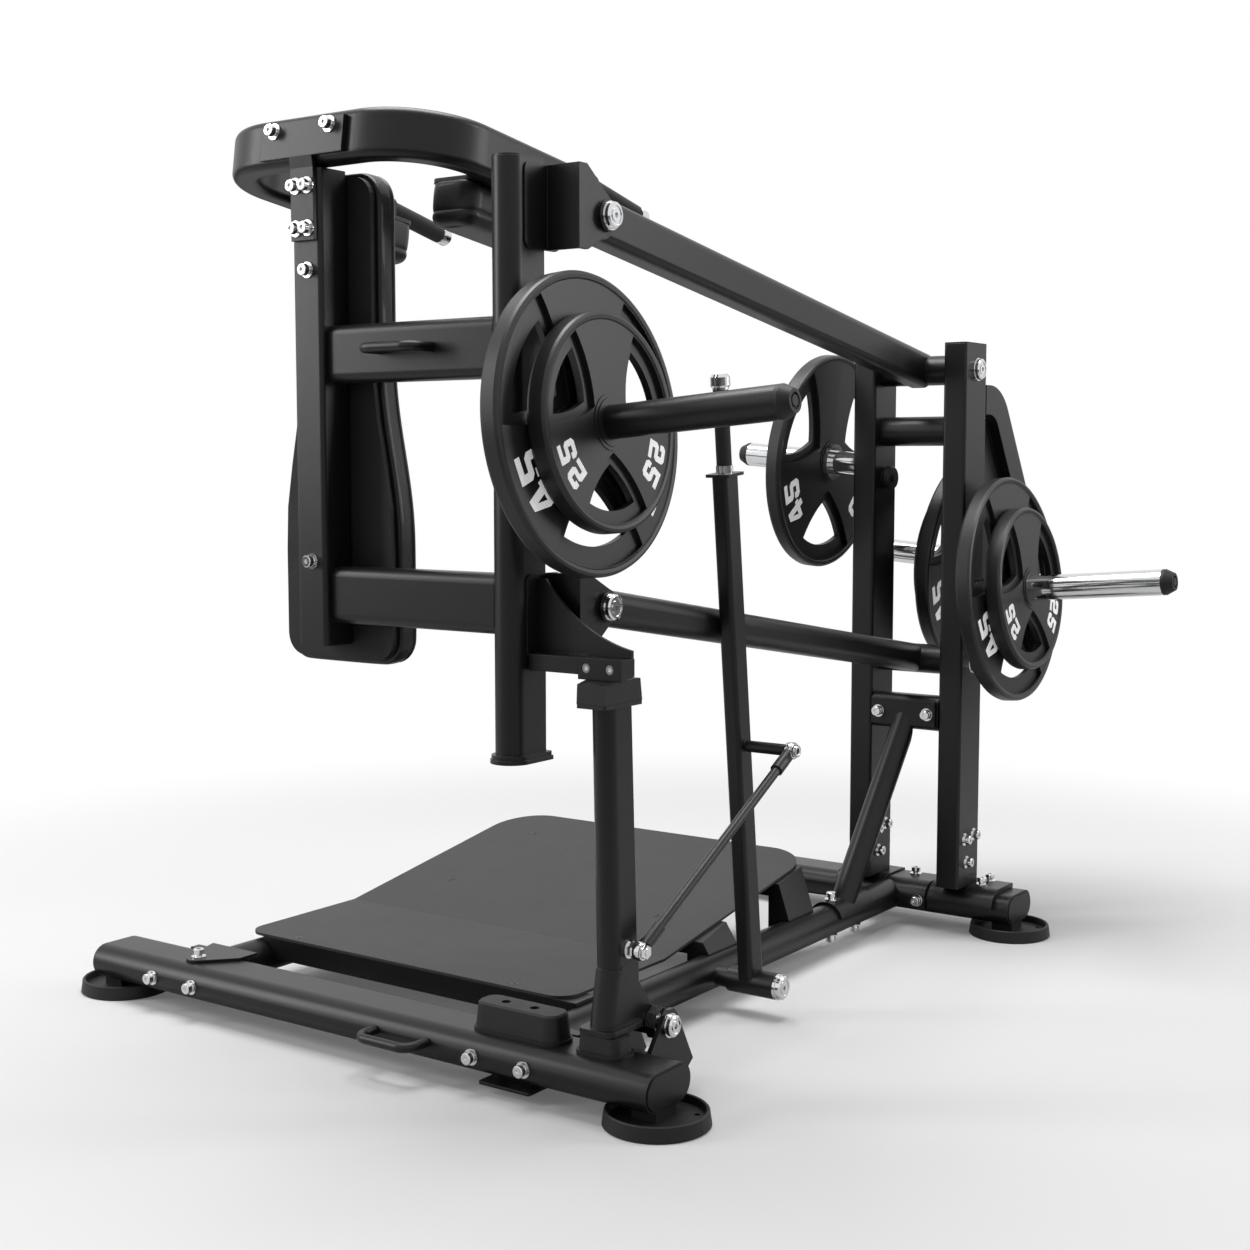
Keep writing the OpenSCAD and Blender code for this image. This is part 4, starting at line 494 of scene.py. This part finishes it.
@dataclass
class Cushion:
    """A crowned upholstered pad: sides that swell, a drawn seam and a soft face.

    Its own axes are x across, y along its length towards the flared end, and z out
    from its backing board.
    """

    name: str
    node: str
    length: float
    top_width: float
    low_width: float
    thickness: float
    corner: float
    crown: float
    flare_at: float = 0.0
    flare_over: float = 1.0
    fill: float = 0.8
    corner_steps: int = 7
    side_steps: int = 15
    face_steps: int = 8
    # Share of the thickness and inset of the outline, from the board to the face
    levels: tuple[tuple[float, float], ...] = (
        (0.0, 7.0), (0.0, 2.6), (0.05, 1.0), (0.18, 0.3), (0.36, 0.3), (0.56, 0.8), (0.635, 2.0),
        (0.66, 3.2), (0.685, 2.0), (0.75, 0.9), (0.83, 2.4), (0.90, 6.0), (0.95, 11.0),
        (0.985, 18.0),
    )

    def half_width(self, y: float) -> float:
        """Half the pad's width at this place along it, in millimetres."""
        share = min(1.0, max(0.0, (y - self.flare_at) / self.flare_over))
        eased = share * share * (3.0 - 2.0 * share)
        return (self.top_width + (self.low_width - self.top_width) * eased) / 2.0

    def side(self, inset: float) -> list[tuple[float, float]]:
        """One long side of the outline, from its upper to its lower end.

        Args:
            inset: How far the outline is drawn in, in millimetres.

        Returns:
            Points across and along the pad.
        """
        end = self.length / 2.0 - self.corner
        radius = self.corner - inset
        points = []
        for i in range(self.corner_steps + 1):
            a = math.radians(-90.0 + 90.0 * i / self.corner_steps)
            x = self.half_width(-end) - self.corner + radius * math.cos(a)
            points.append((x, -end + radius * math.sin(a)))
        for i in range(1, self.side_steps + 1):
            y = -end + 2.0 * end * i / (self.side_steps + 1)
            points.append((self.half_width(y) - inset, y))
        for i in range(self.corner_steps + 1):
            a = math.radians(90.0 * i / self.corner_steps)
            x = self.half_width(end) - self.corner + radius * math.cos(a)
            points.append((x, end + radius * math.sin(a)))
        return points

    def ring(self, inset: float, height: float) -> list[Vector]:
        """The whole outline at one height above the board."""
        right = self.side(inset)
        left = [(-x, y) for x, y in reversed(right)]
        return [Vector((x, y, height)) for x, y in right + left]

    def build(self, seat: Matrix, body: Body) -> bpy.types.Object:
        """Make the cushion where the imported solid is.

        Args:
            seat: Places the pad's own axes, in millimetres, in the model's frame.
            body: The body that carries it.

        Returns:
            The cushion.
        """
        rings = [self.ring(inset, share * self.thickness) for share, inset in self.levels]
        count = len(rings[0])
        points = [p for ring in rings for p in ring]
        faces: list[Sequence[int]] = []
        for j in range(len(rings) - 1):
            for i in range(count):
                a, b = j * count + i, j * count + (i + 1) % count
                faces.append((a, b, b + count, a + count))
        self._close(points, faces, 0, rings[0], 0.0)
        self._close(points, faces, (len(rings) - 1) * count, rings[-1], self.crown)
        piece = new_piece(self.name, [seat @ p for p in points], faces, VINYL, body)
        soften = piece.modifiers.new("soften", "SUBSURF")
        soften.levels = soften.render_levels = 2
        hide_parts(self.node)
        return piece

    def _close(self, points: list[Vector], faces: list[Sequence[int]], first: int,
               ring: list[Vector], crown: float) -> None:
        """Close a ring with a grid that rises to the crown in the middle.

        Args:
            points: The cushion's points, added to.
            faces: Its faces, added to.
            first: Number of the ring's first point.
            ring: The ring's points.
            crown: Rise of the grid's middle, in millimetres.
        """
        rows = len(ring) // 2
        table = []
        for i in range(rows):
            right, left = ring[i], ring[len(ring) - 1 - i]
            along = 1.0 - abs(2.0 * i / (rows - 1) - 1.0) ** 4
            row = [first + i]
            for k in range(1, self.face_steps):
                share = k / self.face_steps
                rise = crown * along * (1.0 - (2.0 * share - 1.0) ** 2)
                row.append(len(points))
                points.append(right.lerp(left, share) + Vector((0.0, 0.0, rise)))
            row.append(first + len(ring) - 1 - i)
            table.append(row)
        for upper, lower in zip(table, table[1:]):
            for k in range(self.face_steps):
                faces.append((upper[k], upper[k + 1], lower[k + 1], lower[k]))


@dataclass
class Upholstery:
    """The back pad and the two shoulder pads on the carriage."""

    seat_x: float = -61.0
    back_low: float = 640.0
    back_high: float = 1440.0
    back_face_y: float = 37.4
    flare_z: float = 1130.0
    frame_y: float = -15.0
    frame_z: float = 1484.0
    frame_slope_deg: float = 8.0
    shoulder_x: float = 158.0
    shoulder_middle: float = 262.5
    shoulder_seat: float = -34.2

    def build(self) -> None:
        """Make all three cushions."""
        middle = (self.back_low + self.back_high) / 2.0
        back = Cushion(
            "back_pad", "back_cushion", length=self.back_high - self.back_low, top_width=180.0,
            low_width=256.0, thickness=46.0, corner=46.0, crown=4.0,
            flare_at=middle - self.flare_z, flare_over=280.0,
        )
        place = Vector((self.seat_x, self.back_face_y, middle))
        back.build(self._seat(place, Euler((-math.pi / 2, 0, 0))), Body.CARRIAGE)
        self._shoulders()

    def _seat(self, place: Vector, turn: Euler) -> Matrix:
        """A pad's seat: its turn, then its drawn place in millimetres."""
        return Matrix.Translation(drawn(*place)) @ turn.to_matrix().to_4x4() @ Matrix.Scale(MM, 4)

    def _shoulders(self) -> None:
        """Make the two shoulder pads, face down under the frame's arms."""
        slope = Euler((math.radians(-self.frame_slope_deg), 0, 0)).to_matrix()
        for side in (-1, 1):
            local = Vector((side * self.shoulder_x, self.shoulder_middle, self.shoulder_seat))
            place = Vector((self.seat_x, self.frame_y, self.frame_z)) + slope @ local
            turn = (slope @ Euler((math.pi, 0, 0)).to_matrix()).to_euler()
            pad = Cushion(
                f"shoulder_pad_{'far' if side < 0 else 'near'}", "shoulder_pads", length=225.0,
                top_width=96.0, low_width=96.0, thickness=73.0, corner=30.0, crown=3.0,
                side_steps=7,
            )
            pad.build(self._seat(place, turn), Body.CARRIAGE)


# Outlines of the block digits: across and up, as shares of a digit's height. The first
# loop is the outside, a second one is a hole.
TWO = ((0, 0), (0.7, 0), (0.7, 0.2), (0.23, 0.2), (0.23, 0.38), (0.58, 0.38), (0.7, 0.5),
       (0.7, 0.88), (0.58, 1), (0.12, 1), (0, 0.88), (0, 0.68), (0.23, 0.68), (0.23, 0.8),
       (0.47, 0.8), (0.47, 0.58), (0.12, 0.58), (0, 0.46))
FIVE = tuple((x, 1 - y) for x, y in TWO)
FOUR = ((0.38, 0), (0.61, 0), (0.61, 0.2), (0.72, 0.2), (0.72, 0.4), (0.61, 0.4), (0.61, 1),
        (0.3, 1), (0, 0.42), (0, 0.2), (0.38, 0.2))
FOUR_HOLE = ((0.38, 0.4), (0.38, 0.78), (0.19, 0.4))
DIGITS: dict[str, tuple[tuple[tuple[float, float], ...], ...]] = {
    "2": (TWO,),
    "4": (FOUR, FOUR_HOLE),
    "5": (FIVE,),
}
DIGIT_WIDTH = 0.7


def plate_axes(tilt_deg: float) -> tuple[Vector, Vector, Vector]:
    """Find the axes of a plate's face.

    Args:
        tilt_deg: How far the plate's horn rises, in degrees.

    Returns:
        Right, up and out of the face, as seen from the loading side.
    """
    tilt = math.radians(tilt_deg)
    right = Vector((0.0, 1.0, 0.0))
    out = Vector((math.cos(tilt), 0.0, math.sin(tilt)))
    return right, out.cross(right), out


@dataclass
class PlateNumber:
    """The raised number on one weight plate, set twice round its face."""

    name: str
    body: Body
    text: str
    middle: Vector
    radius: float
    height: float
    step_deg: float
    tilt_deg: float
    angles_deg: tuple[float, ...] = (210.0, 330.0)
    lift: float = 0.6

    def build(self) -> bpy.types.Object:
        """Make the digits as thin raised solids in one piece."""
        points: list[Vector] = []
        faces: list[Sequence[int]] = []
        for angle in self.angles_deg:
            first = angle + self.step_deg * (len(self.text) - 1) / 2.0
            for place, digit in enumerate(self.text):
                self._digit(points, faces, digit, math.radians(first - place * self.step_deg))
        piece = new_piece(self.name, points, faces, WHITE, self.body, smooth=False)
        return piece

    def _digit(self, points: list[Vector], faces: list[Sequence[int]], digit: str,
               angle: float) -> None:
        """Add one digit.

        Args:
            points: The piece's points, added to.
            faces: The piece's faces, added to.
            digit: Which digit.
            angle: Its place round the face, anticlockwise from the right, in radians.
        """
        right, up, out = plate_axes(self.tilt_deg)
        outward = right * math.cos(angle) + up * math.sin(angle)
        along = right * math.sin(angle) - up * math.cos(angle)
        loops = DIGITS[digit]
        for level in (0.0, self.lift):
            for loop in loops:
                for x, y in loop:
                    across = (x - DIGIT_WIDTH / 2.0) * self.height
                    high = self.radius + (y - 0.5) * self.height
                    offset = along * across + outward * high + out * level
                    points.append(self.middle + offset * MM)
        self._faces(points, faces, loops)

    def _faces(self, points: list[Vector], faces: list[Sequence[int]],
               loops: Sequence[Sequence[tuple[float, float]]]) -> None:
        """Both faces and the walls of the digit whose points were added last."""
        total = sum(len(loop) for loop in loops)
        base = len(points) - 2 * total
        flat = [[Vector((x, y, 0.0)) for x, y in loop] for loop in loops]
        for triangle in tessellate_polygon(flat):
            faces.append([base + i for i in triangle])
            faces.append([base + total + i for i in reversed(triangle)])
        start = base
        for loop in loops:
            for i in range(len(loop)):
                a, b = start + i, start + (i + 1) % len(loop)
                faces.append((a, b, b + total, a + total))
            start += len(loop)


@dataclass
class PlateNumbers:
    """The numbers of all the plates, placed from each plate's own box."""

    tilt_deg: float = 4.8
    face_depth: float = 3.0
    # Text, plate thickness, radius and height of the digits, and angle from digit to digit
    large: tuple[str, float, float, float, float] = ("45", 32.0, 167.0, 58.0, 17.5)
    small: tuple[str, float, float, float, float] = ("25", 34.0, 120.0, 41.0, 18.0)

    def build(self) -> None:
        """Number every plate on the face that shows to the loading side."""
        plates = [
            ("load_plate_large", Body.LOAD_LARGE), ("load_plate_small", Body.LOAD_SMALL),
            ("near_plate_large", Body.NEAR_LARGE), ("near_plate_small", Body.NEAR_SMALL),
            ("far_plate_large", Body.FAR_LARGE), ("rear_plate_large", Body.REAR_LARGE),
            ("rear_plate_small", Body.REAR_SMALL),
        ]
        for node, body in plates:
            self._number(node, body, "large" in node, node.startswith(("far", "rear")))

    def _number(self, node: str, body: Body, large: bool, leans_back: bool) -> None:
        """Number one plate.

        Args:
            node: The plate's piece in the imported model.
            body: The body that the plate is.
            large: Whether it is one of the large plates.
            leans_back: Whether its horn runs away from the loading side.
        """
        low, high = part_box(node)
        middle = (Vector(low) + Vector(high)) / 2.0
        tilt = -self.tilt_deg if leans_back else self.tilt_deg
        text, thickness, radius, height, step_deg = self.large if large else self.small
        _, _, out = plate_axes(tilt)
        face = middle + out * (thickness / 2.0 - self.face_depth) * MM
        PlateNumber(
            node + "_number", body, text, face, radius, height, step_deg, tilt_deg=tilt,
        ).build()


@dataclass
class RodEnds:
    """Chrome bands over both eyes of the release rod and over the lever's stud."""

    eye_x: float = 538.0
    front: tuple[float, float] = (38.0, 243.0)
    rear: tuple[float, float] = (487.0, 487.0)
    # Inner and outer radius, then both ends from the rod's middle across
    eye_band: tuple[float, float, float, float] = (14.0, 14.35, -6.8, 6.8)
    stud_band: tuple[float, float, float, float] = (10.0, 10.35, 7.2, 13.3)
    face_width: float = 5.0
    edge_cut: float = 1.5
    face_t: float = 0.4
    steps: int = 40

    def build(self) -> None:
        """Make the skins of both eyes and of the lever's stud."""
        for name, (y, z) in (("front", self.front), ("rear", self.rear)):
            self._skin(f"rod_eye_{name}", Body.ROD, y, z, *self.eye_band)
        self._skin("lever_stud_nut", Body.LEVER, *self.rear, *self.stud_band)

    def _skin(self, name: str, body: Body, y: float, z: float, inner: float, outer: float,
              x0: float, x1: float) -> None:
        """A thin chrome band with end faces, about an axis across the machine.

        Args:
            name: The piece's name.
            body: The body that carries it.
            y: Middle, front to back, in millimetres.
            z: Middle height, in millimetres.
            inner: Radius where the end faces stop towards the middle.
            outer: Outer radius.
            x0: One end, from the rod's middle across.
            x1: The other end.
        """
        low, cut, thin = inner - self.face_width, self.edge_cut, self.face_t
        profile = ((x0, low), (x0, outer - cut), (x0 + cut, outer), (x1 - cut, outer),
                   (x1, outer - cut), (x1, low), (x1 - thin, low), (x0 + thin, low))
        points = []
        faces = []
        for i in range(self.steps):
            a = 2.0 * math.pi * i / self.steps
            for x, r in profile:
                points.append(drawn(self.eye_x + x, y + r * math.cos(a), z + r * math.sin(a)))
            for k in range(len(profile)):
                a0, a1 = i * len(profile), ((i + 1) % self.steps) * len(profile)
                k1 = (k + 1) % len(profile)
                faces.append((a0 + k, a1 + k, a1 + k1, a0 + k1))
        piece = new_piece(name, points, faces, CHROME, body)


@dataclass
class Studio:
    """A pale floor that runs out to a white background, and soft lamps."""

    floor_size: float = 60.0
    floor_grey: float = 0.60
    floor_glow: float = 0.10
    room_light: float = 0.24
    # The floor turns to the white of the background between these distances
    fade_from: float = 1.25
    fade_to: float = 2.6
    # Name, place, what it points at, width, height, watts
    lamps: tuple[tuple[str, Point, Point, float, float, float], ...] = (
        ("overhead", (-0.4, -0.2, 4.4), (0.0, 0.0, 0.6), 2.2, 3.0, 215.0),
        ("left_front", (-3.4, -3.2, 2.4), (0.0, 0.0, 0.8), 1.0, 3.0, 95.0),
        ("right_rear", (3.6, 2.4, 2.6), (0.2, 0.2, 0.7), 1.0, 3.0, 70.0),
    )

    def build(self) -> None:
        """Make the floor, the lamps and the world."""
        self._floor()
        for name, place, aim, width, height, watts in self.lamps:
            self._lamp(name, Vector(place), Vector(aim), width, height, watts)
        self._world()
        bpy.context.scene.view_settings.view_transform = "Standard"

    def _floor(self) -> None:
        """A diffuse floor that also glows a little for the camera."""
        bpy.ops.mesh.primitive_plane_add(size=self.floor_size, location=(0.0, 0.0, 0.0))
        floor = bpy.context.object
        floor.name = "studio_floor"
        material = bpy.data.materials.new("studio_floor")
        material.use_nodes = True
        tree = material.node_tree
        tree.nodes.clear()
        output = tree.nodes.new("ShaderNodeOutputMaterial")
        diffuse = tree.nodes.new("ShaderNodeBsdfDiffuse")
        diffuse.inputs["Color"].default_value = (self.floor_grey,) * 3 + (1.0,)
        glow = tree.nodes.new("ShaderNodeEmission")
        path = tree.nodes.new("ShaderNodeLightPath")
        strength = tree.nodes.new("ShaderNodeMath")
        strength.operation = "MULTIPLY"
        strength.inputs[1].default_value = self.floor_glow
        tree.links.new(path.outputs["Is Camera Ray"], strength.inputs[0])
        tree.links.new(strength.outputs[0], glow.inputs["Strength"])
        both = tree.nodes.new("ShaderNodeAddShader")
        tree.links.new(diffuse.outputs[0], both.inputs[0])
        tree.links.new(glow.outputs[0], both.inputs[1])
        white = tree.nodes.new("ShaderNodeEmission")
        fade = tree.nodes.new("ShaderNodeMixShader")
        share = tree.nodes.new("ShaderNodeMath")
        share.operation = "MULTIPLY"
        tree.links.new(self._distance_share(tree), share.inputs[0])
        tree.links.new(path.outputs["Is Camera Ray"], share.inputs[1])
        tree.links.new(share.outputs[0], fade.inputs[0])
        tree.links.new(both.outputs[0], fade.inputs[1])
        tree.links.new(white.outputs[0], fade.inputs[2])
        tree.links.new(fade.outputs[0], output.inputs["Surface"])
        floor.data.materials.append(material)

    def _distance_share(self, tree: Any) -> Any:
        """How far the floor has turned white, from 0 near the object to 1 far away."""
        place = tree.nodes.new("ShaderNodeTexCoord")
        length = tree.nodes.new("ShaderNodeVectorMath")
        length.operation = "LENGTH"
        ramp = tree.nodes.new("ShaderNodeMapRange")
        ramp.interpolation_type = "SMOOTHSTEP"
        ramp.inputs["From Min"].default_value = self.fade_from
        ramp.inputs["From Max"].default_value = self.fade_to
        tree.links.new(place.outputs["Object"], length.inputs[0])
        tree.links.new(length.outputs["Value"], ramp.inputs["Value"])
        return ramp.outputs["Result"]

    def _lamp(self, name: str, place: Vector, aim: Vector, width: float, height: float,
              watts: float) -> None:
        """A rectangular soft lamp.

        Args:
            name: The lamp's name.
            place: Where it is.
            aim: What it points at.
            width: Its width in metres.
            height: Its height in metres.
            watts: Its power.
        """
        data = bpy.data.lights.new(name, "AREA")
        data.shape = "RECTANGLE"
        data.size = width
        data.size_y = height
        data.energy = watts
        lamp = bpy.data.objects.new(name, data)
        lamp.location = place
        lamp.rotation_euler = (aim - place).to_track_quat("-Z", "Y").to_euler()
        bpy.context.scene.collection.objects.link(lamp)

    def _world(self) -> None:
        """White where it is seen straight, in metal or through glass; dimmer as light."""
        world = bpy.data.worlds.new("studio")
        bpy.context.scene.world = world
        world.use_nodes = True
        tree = world.node_tree
        tree.nodes.clear()
        output = tree.nodes.new("ShaderNodeOutputWorld")
        path = tree.nodes.new("ShaderNodeLightPath")
        seen = self._most(tree, path.outputs["Is Camera Ray"], path.outputs["Is Transmission Ray"])
        seen = self._most(tree, seen, path.outputs["Is Glossy Ray"])
        mix = tree.nodes.new("ShaderNodeMixShader")
        light = tree.nodes.new("ShaderNodeBackground")
        light.inputs["Strength"].default_value = self.room_light
        backdrop = tree.nodes.new("ShaderNodeBackground")
        backdrop.inputs["Color"].default_value = (1.0, 1.0, 1.0, 1.0)
        tree.links.new(seen, mix.inputs[0])
        tree.links.new(light.outputs[0], mix.inputs[1])
        tree.links.new(backdrop.outputs[0], mix.inputs[2])
        tree.links.new(mix.outputs[0], output.inputs["Surface"])

    def _most(self, tree: Any, first: Any, second: Any) -> Any:
        """The larger of two sockets' values."""
        larger = tree.nodes.new("ShaderNodeMath")
        larger.operation = "MAXIMUM"
        tree.links.new(first, larger.inputs[0])
        tree.links.new(second, larger.inputs[1])
        return larger.outputs[0]


@dataclass
class PhotoCamera:
    """The camera that the picture was taken with."""

    place: Point = (2025.3, -2118.0, 975.2)
    turn_deg: float = 35.104
    down_deg: float = 5.254
    focal_pixels: float = 1783.9
    image_pixels: float = 1250.0
    sensor_mm: float = 36.0

    def build(self) -> None:
        """Set the scene's camera."""
        data = bpy.data.cameras.new("photo_camera")
        data.sensor_width = self.sensor_mm
        data.lens = self.focal_pixels * self.sensor_mm / self.image_pixels
        data.clip_end = 200.0
        camera = bpy.data.objects.new("photo_camera", data)
        camera.location = drawn(*self.place)
        turn = (math.radians(90.0 - self.down_deg), 0.0, math.radians(self.turn_deg))
        camera.rotation_euler = Euler(turn)
        bpy.context.scene.collection.objects.link(camera)
        bpy.context.scene.camera = camera


def main() -> None:
    """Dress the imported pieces, add the soft ones and the numbers, and set the studio."""
    logging.basicConfig(level=logging.INFO, format="%(message)s")
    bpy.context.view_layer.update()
    PhotoCamera().build()
    PackedPieces(FINISH_OF_SLOT).dress()
    Upholstery().build()
    PlateNumbers().build()
    RodEnds().build()
    Studio().build()


if __name__ == "__main__":
    main()
